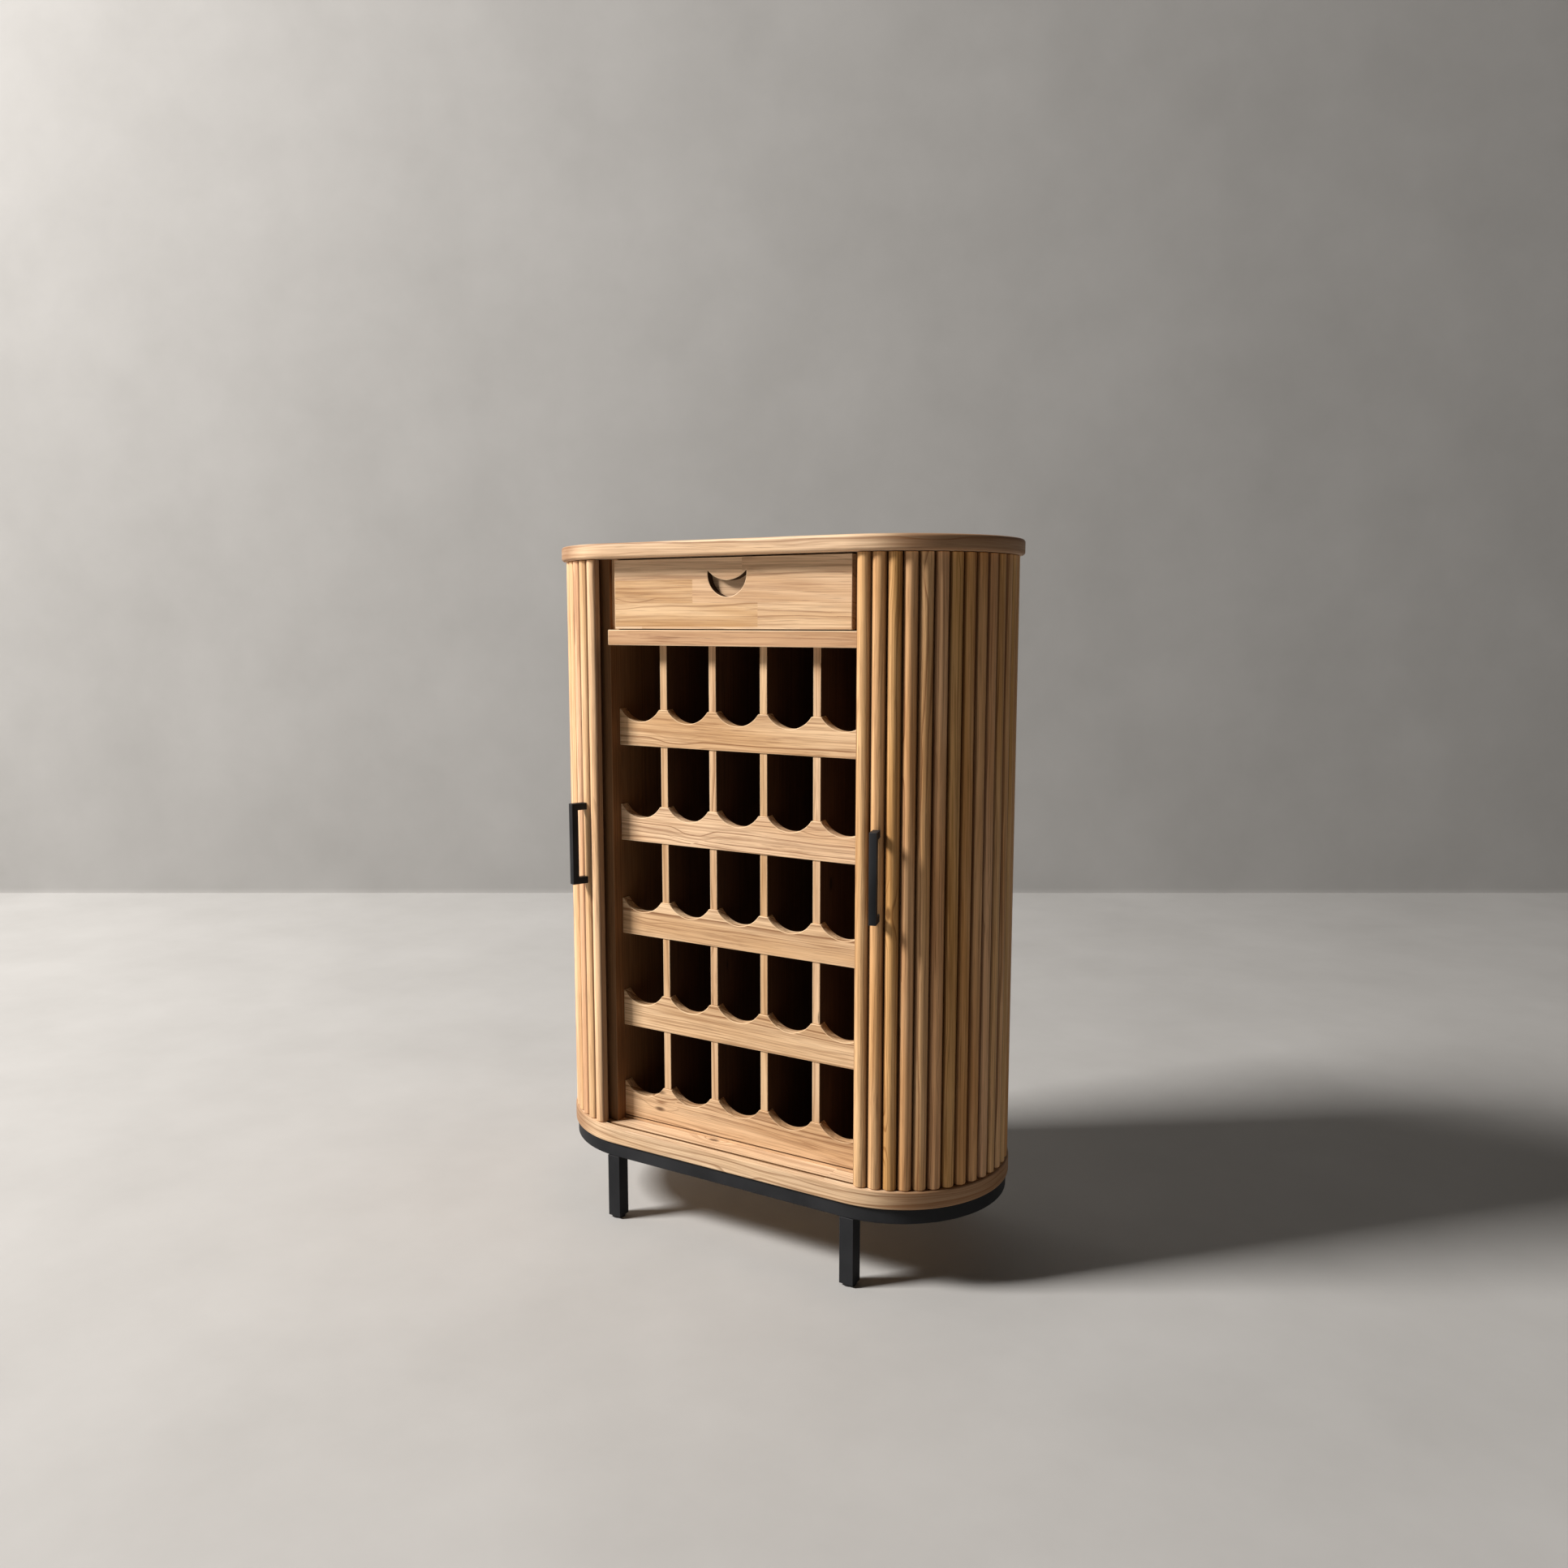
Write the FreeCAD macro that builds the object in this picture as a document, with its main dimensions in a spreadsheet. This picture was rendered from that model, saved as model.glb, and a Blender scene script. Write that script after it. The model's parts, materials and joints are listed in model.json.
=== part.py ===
import FreeCAD, Part
import math
import os
import re
import Sketcher

# A free-standing wine cabinet with rounded ends: a rack for lying bottles, a drawer above it and two
# slatted doors that slide round the ends on tracks in the top and base boards.
# Millimetres. The origin is on the floor under the middle of the plan, the front faces -Y, +Z is up.

ROWS = 5
COLUMNS = 5
SIDES = {"left": -1, "right": 1}
ENDS = {"front": -1, "rear": 1}

# Driving dimensions: name, value, what it measures.
DRIVING = [
    ("glide_height", 4, "levelling glide's pad under the leg"),
    ("glide_diameter", 23, "glide pad"),
    ("stem_diameter", 8, "glide's stem"),
    ("stem_length", 20, "stem above the pad"),
    ("stem_clearance", 0.08, "radial room of the stem in the leg"),
    ("leg_length", 113, "leg from its end plate to the ring frame"),
    ("leg_size", 25, "square leg tube"),
    ("leg_wall", 2, "leg tube's wall"),
    ("leg_plate", 6, "end plate that closes the leg"),
    ("leg_span", 500, "over the outer faces of two legs, along X"),
    ("ring_size", 25, "square tube of the ring frame"),
    ("ring_wall", 2, "ring tube's wall"),
    ("ring_inset", 4, "ring frame behind the base board's edge"),
    ("screw_diameter", 6, "screw that holds the ring to the base board"),
    ("screw_head_diameter", 11, "its head"),
    ("screw_head_height", 3, "its head below the ring"),
    ("screw_bite", 18, "its length in the base board"),
    ("screw_clearance", 0.1, "radial room of the screw in its hole"),
    ("screw_span", 220, "between two screws along X"),
    ("base_thick", 30, "base board"),
    ("base_overhang", 2, "base board beyond the slats"),
    ("base_round", 3, "rounding of the base board's edges"),
    ("bay_height", 1003, "clear height between the base and top boards"),
    ("top_thick", 25, "top board"),
    ("top_overhang", 8, "top board beyond the slats"),
    ("top_round", 5, "rounding of the top board's edges"),
    ("end_spacing", 458, "between the centres of the two rounded ends"),
    ("curtain_radius", 192, "centre of an end to the crown of a slat"),
    ("slat_thick", 15, "slat from its flat back to its crown"),
    ("slat_crown", 7, "rise of the slat's round front"),
    ("slat_pitch", 23, "slat to slat along the canvas"),
    ("slat_gap", 0.8, "between two slats' backs"),
    ("slat_shoulder", 0.4, "flat beside the slat's round front"),
    ("slat_end_gap", 1, "slat's end to the board it slides under or over"),
    ("left_lead_start", 31, "open left door's first edge past the start of the rounded end, along the canvas"),
    ("right_lead_start", 16, "open right door's first edge, likewise"),
    ("meeting_gap", 1, "between the two shut doors"),
    ("tail_clearance", 1.5, "open door's last edge to the back panel"),
    ("tongue_thick", 4, "tongue on the slat's end"),
    ("tongue_length", 7, "tongue's reach into the track"),
    ("track_depth", 8, "track groove in the boards"),
    ("track_clearance", 0.6, "room of the tongue in the track"),
    ("canvas_thick", 1, "canvas behind the slats"),
    ("canvas_margin", 8, "canvas short of the slats' ends"),
    ("glue_line", 0.1, "canvas behind the slats' backs"),
    ("bay_width", 492, "between the inner side panels"),
    ("side_thick", 16, "inner side panel"),
    ("side_setback", 28, "side panel behind the slats' crowns"),
    ("shell_clearance", 10, "room for the moving slats in front of the end shell"),
    ("shell_thick", 6, "curved end shell"),
    ("back_thick", 12, "back panel"),
    ("back_setback", 4, "back panel inside the slats' crowns"),
    ("shelf_thick", 26, "shelf under the drawer"),
    ("shelf_setback", 21, "shelf's front edge behind the slats' crowns"),
    ("drawer_space", 120, "between the shelf and the top board"),
    ("drawer_setback", 22, "drawer front behind the slats' crowns"),
    ("drawer_side_gap", 15.5, "drawer to the side panel"),
    ("drawer_front_thick", 18, "drawer front"),
    ("drawer_front_height", 115.5, "drawer front"),
    ("drawer_front_lift", 2, "drawer front above the shelf"),
    ("drawer_length", 320, "drawer from its front face to its back"),
    ("drawer_wall", 12, "drawer's sides and back"),
    ("drawer_wall_height", 95, "drawer's sides and back"),
    ("drawer_bottom_thick", 6, "drawer's bottom"),
    ("drawer_bottom_lift", 8, "drawer's bottom above its sides' lower edges"),
    ("drawer_run_gap", 0.3, "drawer's sides above the shelf"),
    ("guide_gap", 1, "drawer to the guide strip beside it"),
    ("guide_setback", 12, "guide strip behind the drawer front's face"),
    ("crescent_width", 75, "finger recess from tip to tip"),
    ("crescent_drop", 43, "its lower curve below the tips"),
    ("crescent_rise", 16, "its upper curve below the tips"),
    ("crescent_depth", 14, "its depth into the drawer front"),
    ("crescent_top", 20.5, "its tips below the drawer front's top edge"),
    ("rack_setback", 50, "bottle rails behind the slats' crowns"),
    ("rail_thick", 18, "bottle rail"),
    ("rail_height", 64, "bottle rail from its lower edge to its cusps"),
    ("first_cusp", 70, "lowest rail's cusps above the base board"),
    ("top_row_space", 111, "highest rail's cusps to the shelf"),
    ("scallop_depth", 22, "bottle's seat in the rail"),
    ("cusp_flat", 18, "flat between two seats"),
    ("plinth_line", 1.2, "scored line that sets off the lowest front rail's foot"),
    ("plinth_line_depth", 2, "its depth"),
    ("divider_thick", 14, "upright divider"),
    ("divider_setback", 2, "divider's front edge behind the rail's face"),
    ("handle_bar", 12, "square bar of the handle"),
    ("handle_length", 144, "handle from end to end"),
    ("handle_standoff", 16, "finger gap behind the bar"),
    ("handle_height", 508, "handle's middle above the base board"),
    ("handle_seat", 1.5, "flat seat cut for the handle's posts"),
]

# Sizes that follow from the driving ones.
DERIVED = [
    ("end_x", "end_spacing / 2"),
    ("back_radius", "curtain_radius - slat_thick"),
    ("ring_bottom", "glide_height + leg_length"),
    ("base_bottom", "ring_bottom + ring_size"),
    ("bay_bottom", "base_bottom + base_thick"),
    ("bay_top", "bay_bottom + bay_height"),
    ("base_radius", "curtain_radius + base_overhang"),
    ("top_radius", "curtain_radius + top_overhang"),
    ("ring_radius", "base_radius - ring_inset"),
    ("ring_outer_skin", "ring_radius - ring_wall"),
    ("ring_inner_radius", "ring_radius - ring_size"),
    ("ring_inner_skin", "ring_inner_radius + ring_wall"),
    ("ring_lid_bottom", "base_bottom - ring_wall"),
    ("ring_middle", "ring_radius - ring_size / 2"),
    ("leg_x", "(leg_span - leg_size) / 2"),
    ("slat_width", "slat_pitch - slat_gap"),
    ("slat_side", "slat_thick - slat_crown"),
    ("slat_bottom", "bay_bottom + slat_end_gap"),
    ("slat_length", "bay_height - 2 * slat_end_gap"),
    ("crown_half", "slat_width / 2 - slat_shoulder"),
    ("crown_radius", "(crown_half ^ 2 + slat_crown ^ 2) / (2 * slat_crown)"),
    ("tongue_bottom", "bay_bottom - tongue_length"),
    ("tongue_span", "bay_height + 2 * tongue_length"),
    ("track_inner", "back_radius - track_clearance"),
    ("track_outer", "sqrt((back_radius + tongue_thick) ^ 2 + (slat_width / 2) ^ 2) + track_clearance"),
    ("bay_half", "bay_width / 2"),
    ("side_face", "bay_half + side_thick"),
    ("side_front", "side_setback - curtain_radius"),
    ("back_inner", "curtain_radius - back_setback - back_thick"),
    ("shell_radius", "back_radius - shell_clearance"),
    ("shelf_top", "bay_top - drawer_space"),
    ("shelf_bottom", "shelf_top - shelf_thick"),
    ("shelf_front", "shelf_setback - curtain_radius"),
    ("drawer_half", "bay_half - drawer_side_gap"),
    ("drawer_face", "drawer_setback - curtain_radius"),
    ("drawer_front_back", "drawer_face + drawer_front_thick"),
    ("drawer_front_bottom", "shelf_top + drawer_front_lift"),
    ("drawer_front_top", "drawer_front_bottom + drawer_front_height"),
    ("drawer_inner_half", "drawer_half - drawer_wall"),
    ("drawer_rear", "drawer_face + drawer_length"),
    ("drawer_wall_bottom", "shelf_top + drawer_run_gap"),
    ("drawer_wall_top", "drawer_wall_bottom + drawer_wall_height"),
    ("drawer_floor", "drawer_wall_bottom + drawer_bottom_lift"),
    ("tip_height", "drawer_front_top - crescent_top"),
    ("lower_curve", "((crescent_width / 2) ^ 2 + crescent_drop ^ 2) / (2 * crescent_drop)"),
    ("upper_curve", "((crescent_width / 2) ^ 2 + crescent_rise ^ 2) / (2 * crescent_rise)"),
    ("rack_front", "rack_setback - curtain_radius"),
    ("rear_rail_front", "back_inner - rail_thick"),
    ("divider_front", "rack_front + divider_setback"),
    ("row_pitch", f"(shelf_bottom - bay_bottom - first_cusp - top_row_space) / {ROWS - 1}"),
    ("column_pitch", f"(bay_width + divider_thick) / {COLUMNS}"),
    ("seat_radius", "(((column_pitch - cusp_flat) / 2) ^ 2 + scallop_depth ^ 2) / (2 * scallop_depth)"),
    ("handle_middle", "bay_bottom + handle_height"),
]

doc = FreeCAD.newDocument("wine_cabinet")
sheet = doc.addObject("Spreadsheet::Sheet", "Sizes")
names = []
pieces = []


def fill_sheet():
    """Write every size into the sheet, one row each, and give its cell the size's name."""
    rows = [(name, str(value), note) for name, value, note in DRIVING]
    rows += [(name, "=" + formula, "") for name, formula in DERIVED]
    for row, (name, content, note) in enumerate(rows, start=1):
        sheet.set(f"A{row}", name)
        sheet.set(f"B{row}", content)
        sheet.set(f"C{row}", note)
        sheet.setAlias(f"B{row}", name)
        names.append(name)
    doc.recompute()


def size(name):
    """The number in a size's cell."""
    return float(sheet.get(name))


def linked(formula):
    """The formula with each size in it pointing at its cell."""
    def to_cell(word):
        return "Sizes." + word.group() if word.group() in names else word.group()
    return re.sub(r"[a-z][a-z_]+", to_cell, formula)


def keep(piece):
    """Mark an object as a finished sub-part."""
    pieces.append(piece)
    return piece


def block(name, low, high):
    """A board between two corners, each given as three formulas."""
    box = doc.addObject("Part::Box", name)
    for axis, side, start, end in zip("xyz", ("Length", "Width", "Height"), low, high):
        box.setExpression(side, linked(f"({end}) - ({start})"))
        box.setExpression(f"Placement.Base.{axis}", linked(start))
    return box


def rod(name, radius, length, start, along=(0, 0, 1)):
    """A round bar of a radius and length from a start point, all given as formulas."""
    bar = doc.addObject("Part::Cylinder", name)
    turn = FreeCAD.Rotation(FreeCAD.Vector(0, 0, 1), FreeCAD.Vector(*along))
    bar.Placement = FreeCAD.Placement(FreeCAD.Vector(), turn)
    bar.setExpression("Radius", linked(radius))
    bar.setExpression("Height", linked(length))
    for axis, formula in zip("xyz", start):
        bar.setExpression(f"Placement.Base.{axis}", linked(formula))
    return bar


def joined(name, shapes):
    """Several overlapping shapes made one."""
    whole = doc.addObject("Part::MultiFuse", name)
    whole.Shapes = shapes
    return whole


def cut(name, base, tools):
    """A shape with one or more others taken out of it."""
    result = doc.addObject("Part::Cut", name)
    result.Base = base
    result.Tool = tools[0] if len(tools) == 1 else joined(name + "_cuts", tools)
    return result


def group(name, shapes):
    """Alike separate pieces that share one node."""
    together = doc.addObject("Part::Compound", name)
    together.Links = shapes
    return together


def stretch(across, near, far):
    """Formulas for a stretch of X between two distances from the middle, on the left or the right."""
    if across > 0:
        return near, far
    return f"-({far})", f"-({near})"


def new_body(name):
    return doc.addObject("PartDesign::Body", name)


def new_sketch(body, name, height):
    """A sketch on the body's level plane, raised to a size in the sheet."""
    sketch = body.newObject("Sketcher::SketchObject", name)
    level = next(plane for plane in body.Origin.OriginFeatures if plane.Role == "XY_Plane")
    sketch.AttachmentSupport = (level, [""])
    sketch.MapMode = "FlatFace"
    sketch.setExpression("AttachmentOffset.Base.z", linked(height))
    return sketch


def dimension(sketch, constraint, name):
    """Add a dimension that follows a size in the sheet."""
    index = sketch.addConstraint(constraint)
    sketch.setExpression(f"Constraints[{index}]", linked(name))


def pad(body, sketch, length):
    """Extrude a sketch upwards by a size in the sheet."""
    feature = body.newObject("PartDesign::Pad", sketch.Name + "_pad")
    feature.Profile = sketch
    feature.setExpression("Length", linked(length))
    return feature


def draw_stadium(sketch, radius):
    """The cabinet's plan: two half circles joined by straight lines."""
    reach = size(radius)
    end = size("end_x")
    up = FreeCAD.Vector(0, 0, 1)
    quarter = math.pi / 2
    right_circle = Part.Circle(FreeCAD.Vector(end, 0, 0), up, reach)
    left_circle = Part.Circle(FreeCAD.Vector(-end, 0, 0), up, reach)
    front_line = Part.LineSegment(FreeCAD.Vector(-end, -reach, 0), FreeCAD.Vector(end, -reach, 0))
    rear_line = Part.LineSegment(FreeCAD.Vector(end, reach, 0), FreeCAD.Vector(-end, reach, 0))
    front = sketch.addGeometry(front_line)
    right = sketch.addGeometry(Part.ArcOfCircle(right_circle, -quarter, quarter))
    rear = sketch.addGeometry(rear_line)
    left = sketch.addGeometry(Part.ArcOfCircle(left_circle, quarter, 3 * quarter))
    for one, next_one in ((front, right), (right, rear), (rear, left), (left, front)):
        sketch.addConstraint(Sketcher.Constraint("Tangent", one, 2, next_one, 1))
    sketch.addConstraint(Sketcher.Constraint("PointOnObject", right, 3, -1))
    sketch.addConstraint(Sketcher.Constraint("Symmetric", left, 3, right, 3, -1, 1))
    sketch.addConstraint(Sketcher.Constraint("Equal", left, right))
    dimension(sketch, Sketcher.Constraint("Radius", right, reach), radius)
    dimension(sketch, Sketcher.Constraint("DistanceX", left, 3, right, 3, 2 * end), "end_spacing")


def rounded_board(name, radius, bottom, thick, rounding, track_level, track_upwards):
    """A board of the cabinet's plan with rounded edges and the doors' track groove in one face."""
    body = new_body(name)
    outline = new_sketch(body, name + "_plan", bottom)
    draw_stadium(outline, radius)
    slab = pad(body, outline, thick)
    doc.recompute()
    edges = [
        f"Edge{index}" for index, edge in enumerate(slab.Shape.Edges, start=1)
        if abs(edge.BoundBox.ZLength) < 1e-6
    ]
    rounded = body.newObject("PartDesign::Fillet", name + "_rounding")
    rounded.Base = (slab, edges)
    rounded.setExpression("Radius", linked(rounding))
    groove = new_sketch(body, name + "_track", track_level)
    draw_stadium(groove, "track_outer")
    draw_stadium(groove, "track_inner")
    track = body.newObject("PartDesign::Pocket", name + "_track_cut")
    track.Profile = groove
    track.Reversed = track_upwards
    track.setExpression("Length", linked("track_depth"))
    body.Tip = track
    return body


def screw_places():
    """Each frame screw's X and Y as formulas: four along the straights and one at each end."""
    places = []
    for side in SIDES.values():
        for end in ENDS.values():
            places.append((f"{side} * screw_span / 2", f"{end} * ring_middle"))
        places.append((f"{side} * (end_x + ring_middle)", "0"))
    return places


def screw_holes(name, bottom, length):
    """Holes for the frame screws, through a stretch of height."""
    radius = "screw_diameter / 2 + screw_clearance"
    return [
        rod(f"{name}_hole_{index}", radius, length, (x, y, bottom))
        for index, (x, y) in enumerate(screw_places(), start=1)
    ]


def make_boards():
    """The top and base boards, which hold the doors' tracks."""
    keep(rounded_board("top_board", "top_radius", "bay_top", "top_thick", "top_round", "bay_top", True))
    blank = rounded_board(
        "base_board_blank", "base_radius", "base_bottom", "base_thick", "base_round", "bay_bottom", False
    )
    keep(cut("base_board", blank, screw_holes("base_board", "base_bottom", "screw_bite")))


def make_ring_frame():
    """The steel ring under the base board: a closed square tube bent to the cabinet's plan."""
    body = new_body("ring_frame_tube")
    walls = [
        ("floor", "ring_radius", "ring_inner_radius", "ring_bottom", "ring_wall"),
        ("outer", "ring_radius", "ring_outer_skin", "ring_bottom", "ring_size"),
        ("inner", "ring_inner_skin", "ring_inner_radius", "ring_bottom", "ring_size"),
        ("lid", "ring_radius", "ring_inner_radius", "ring_lid_bottom", "ring_wall"),
    ]
    for wall, outside, inside, bottom, height in walls:
        sketch = new_sketch(body, f"ring_frame_{wall}", bottom)
        draw_stadium(sketch, outside)
        draw_stadium(sketch, inside)
        body.Tip = pad(body, sketch, height)
    keep(cut("ring_frame", body, screw_holes("ring_frame", "ring_bottom", "ring_size")))


def make_frame_screws():
    """The screws that hold the ring frame to the base board from below."""
    screws = []
    for index, (x, y) in enumerate(screw_places(), start=1):
        name = f"frame_screw_{index}"
        head_bottom = (x, y, "ring_bottom - screw_head_height")
        head = rod(name + "_head", "screw_head_diameter / 2", "screw_head_height", head_bottom)
        shank = rod(name + "_shank", "screw_diameter / 2", "ring_size + screw_bite", (x, y, "ring_bottom"))
        screws.append(joined(name, [head, shank]))
    keep(group("frame_screws", screws))


def make_legs():
    """Four square tube legs, each closed by an end plate that holds a levelling glide."""
    for end, toward in ENDS.items():
        for side, across in SIDES.items():
            name = f"{end}_{side}_leg"
            x = f"{across} * leg_x"
            y = f"{toward} * ring_middle"
            half = "leg_size / 2"
            hollow = "(leg_size / 2 - leg_wall)"
            tube = block(
                name + "_tube",
                (f"{x} - {half}", f"{y} - {half}", "glide_height"),
                (f"{x} + {half}", f"{y} + {half}", "ring_bottom"),
            )
            inside = block(
                name + "_inside",
                (f"{x} - {hollow}", f"{y} - {hollow}", "glide_height + leg_plate"),
                (f"{x} + {hollow}", f"{y} + {hollow}", "ring_bottom"),
            )
            bore_radius = "stem_diameter / 2 + stem_clearance"
            bore = rod(name + "_bore", bore_radius, "leg_plate", (x, y, "glide_height"))
            keep(cut(name, tube, [inside, bore]))
            foot = f"{end}_{side}_glide"
            disc = rod(foot + "_pad", "glide_diameter / 2", "glide_height", (x, y, "0"))
            stem = rod(foot + "_stem", "stem_diameter / 2", "glide_height + stem_length", (x, y, "0"))
            keep(joined(foot, [disc, stem]))


def make_carcass():
    """Side panels, curved end shells, back panel and the shelf that carries the drawer."""
    for side, across in SIDES.items():
        faces = stretch(across, "bay_half", "side_face")
        keep(block(
            f"{side}_side_panel",
            (faces[0], "side_front", "bay_bottom"),
            (faces[1], "back_inner", "bay_top"),
        ))
        name = f"{side}_end_shell"
        centre = (f"{across} * end_x", "0", "bay_bottom")
        outside = rod(name + "_outside", "shell_radius", "bay_height", centre)
        inside = rod(name + "_inside", "shell_radius - shell_thick", "bay_height", centre)
        spread = stretch(across, "side_face", "end_x + shell_radius")
        beyond = block(
            name + "_beyond",
            (spread[0], "-shell_radius", "bay_bottom"),
            (spread[1], "shell_radius", "bay_top"),
        )
        shell = doc.addObject("Part::Common", name)
        shell.Base = cut(name + "_tube", outside, [inside])
        shell.Tool = beyond
        keep(shell)
    keep(block(
        "back_panel",
        ("-side_face", "back_inner", "bay_bottom"),
        ("side_face", "back_inner + back_thick", "bay_top"),
    ))
    keep(block(
        "drawer_shelf",
        ("-bay_half", "shelf_front", "shelf_bottom"),
        ("bay_half", "back_inner", "shelf_top"),
    ))


def bottle_rail(name, row, front, foot):
    """A board with one round seat for each bottle along its upper edge."""
    cusp = f"bay_bottom + first_cusp + {row} * row_pitch"
    board = block(
        name + "_board", ("-bay_half", front, foot), ("bay_half", f"{front} + rail_thick", cusp)
    )
    seats = []
    for column in range(COLUMNS):
        x = f"{column - (COLUMNS - 1) / 2} * column_pitch"
        middle = (x, front, f"{cusp} - scallop_depth + seat_radius")
        seats.append(rod(f"{name}_seat_{column + 1}", "seat_radius", "rail_thick", middle, (0, 1, 0)))
    return cut(name, board, seats)


def rail_foot(row):
    """Formula for a rail's lower edge: the lowest rail stands on the base board."""
    if row == 0:
        return "bay_bottom"
    return f"bay_bottom + first_cusp + {row} * row_pitch - rail_height"


def plinth_line(name):
    """Cutter for the line scored along the lowest front rail, at the height of a free rail's lower edge."""
    height = "bay_bottom + first_cusp - rail_height"
    return block(
        name,
        ("-bay_half", "rack_front", f"{height} - plinth_line"),
        ("bay_half", "rack_front + plinth_line_depth", height),
    )


def make_rack():
    """The bottle rack: scalloped rails front and rear, and dividers notched to fit over them."""
    rear_rails = []
    for row in range(ROWS):
        foot = rail_foot(row)
        name = f"front_bottle_rail_{row + 1}"
        if row == 0:
            blank = bottle_rail(name + "_plain", row, "rack_front", foot)
            keep(cut(name, blank, [plinth_line(name + "_line")]))
        else:
            keep(bottle_rail(name, row, "rack_front", foot))
        rear_rails.append(bottle_rail(f"rear_bottle_rail_{row + 1}", row, "rear_rail_front", foot))
    keep(group("rear_bottle_rails", rear_rails))
    for number in range(1, COLUMNS):
        name = f"rack_divider_{number}"
        x = f"{number - COLUMNS / 2} * column_pitch"
        left = f"{x} - divider_thick / 2"
        right = f"{x} + divider_thick / 2"
        board = block(
            name + "_board", (left, "divider_front", "bay_bottom"), (right, "back_inner", "shelf_bottom")
        )
        notches = []
        for row in range(ROWS):
            cusp = f"bay_bottom + first_cusp + {row} * row_pitch"
            for end, front in (("front", "rack_front"), ("rear", "rear_rail_front")):
                notches.append(block(
                    f"{name}_{end}_notch_{row + 1}",
                    (left, front, rail_foot(row)),
                    (right, f"{front} + rail_thick", cusp),
                ))
        keep(cut(name, board, notches))


def make_drawer():
    """The drawer, with a crescent finger recess in its front, and the guide strips beside it."""
    front_blank = block(
        "drawer_front_board",
        ("-drawer_half", "drawer_face", "drawer_front_bottom"),
        ("drawer_half", "drawer_front_back", "drawer_front_top"),
    )
    into = (0, 1, 0)
    lower_middle = ("0", "drawer_face", "tip_height - crescent_drop + lower_curve")
    upper_middle = ("0", "drawer_face", "tip_height - crescent_rise + upper_curve")
    lower = rod("crescent_lower", "lower_curve", "crescent_depth", lower_middle, into)
    upper = rod("crescent_upper", "upper_curve", "crescent_depth", upper_middle, into)
    keep(cut("drawer_front", front_blank, [cut("crescent", lower, [upper])]))
    guides = []
    for side, across in SIDES.items():
        walls = stretch(across, "drawer_inner_half", "drawer_half")
        keep(block(
            f"drawer_{side}_side",
            (walls[0], "drawer_front_back", "drawer_wall_bottom"),
            (walls[1], "drawer_rear", "drawer_wall_top"),
        ))
        strip = stretch(across, "drawer_half + guide_gap", "bay_half")
        guides.append(block(
            f"{side}_drawer_guide",
            (strip[0], "drawer_face + guide_setback", "shelf_top"),
            (strip[1], "drawer_rear", "bay_top"),
        ))
    keep(group("drawer_guides", guides))
    keep(block(
        "drawer_back",
        ("-drawer_inner_half", "drawer_rear - drawer_wall", "drawer_wall_bottom"),
        ("drawer_inner_half", "drawer_rear", "drawer_wall_top"),
    ))
    keep(block(
        "drawer_bottom",
        ("-drawer_inner_half", "drawer_front_back", "drawer_floor"),
        ("drawer_inner_half", "drawer_rear - drawer_wall", "drawer_floor + drawer_bottom_thick"),
    ))


def make_slat(name, with_tongue):
    """One slat, standing at the origin with its flat back on the XZ plane and its front towards -Y."""
    half = "slat_width / 2"
    top = "slat_bottom + slat_length"
    straight = block(name + "_straight", (f"-{half}", "-slat_side", "slat_bottom"), (half, "0", top))
    middle = ("0", "crown_radius - slat_thick", "slat_bottom")
    whole_round = rod(name + "_round", "crown_radius", "slat_length", middle)
    front = block(name + "_front", (f"-{half}", "-slat_thick", "slat_bottom"), (half, "-slat_side", top))
    crown = doc.addObject("Part::Common", name + "_crown")
    crown.Base = whole_round
    crown.Tool = front
    parts = [straight, crown]
    if with_tongue:
        parts.append(block(
            name + "_tongue",
            (f"-{half}", "-tongue_thick", "tongue_bottom"),
            (half, "0", "tongue_bottom + tongue_span"),
        ))
    return joined(name, parts)


def slat_angle(side, index):
    """How far round the end a slat of the open door stands, in radians from the front."""
    return (size(f"{side}_lead_start") + (index + 0.5) * size("slat_pitch")) / size("back_radius")


def slat_place(side, index):
    """Where a slat of the open door stands: its back touches the canvas line round the end."""
    across = SIDES[side]
    angle = slat_angle(side, index)
    radius = size("back_radius")
    spot = FreeCAD.Vector(
        across * (size("end_x") + radius * math.sin(angle)), -radius * math.cos(angle), 0
    )
    return FreeCAD.Placement(spot, FreeCAD.Rotation(FreeCAD.Vector(0, 0, 1), math.degrees(across * angle)))


def slat_counts():
    """How many slats come onto the straight front when a door shuts, and how many a door has in all."""
    pitch = size("slat_pitch")
    leading = math.ceil((size("end_x") - size("meeting_gap") / 2) / pitch)
    radius = size("back_radius")
    tail_x = size("side_face") + size("tail_clearance") - size("end_x")
    tail_angle = math.pi - math.asin(tail_x / radius)
    most_open = max(size(f"{side}_lead_start") for side in SIDES)
    total = math.floor((radius * tail_angle - most_open) / pitch)
    return leading, total


def handle_posts(name, reach):
    """The handle's two posts, from the seats in the slat out to a distance from the slat's back."""
    half = "handle_bar / 2"
    low = "handle_middle - handle_length / 2"
    high = "handle_middle + handle_length / 2 - handle_bar"
    return [
        block(
            f"{name}_{where}",
            (f"-{half}", f"-({reach})", bottom),
            (half, "handle_seat - slat_thick", f"{bottom} + handle_bar"),
        )
        for where, bottom in (("low", low), ("high", high))
    ]


def make_handle(name):
    """A square bar on two posts, standing at the origin like its slat."""
    outer = "slat_thick + handle_standoff + handle_bar"
    bar = block(
        name + "_bar",
        ("-handle_bar / 2", f"-({outer})", "handle_middle - handle_length / 2"),
        ("handle_bar / 2", "-(slat_thick + handle_standoff)", "handle_middle + handle_length / 2"),
    )
    return joined(name, [bar] + handle_posts(name + "_post", outer))


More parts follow.
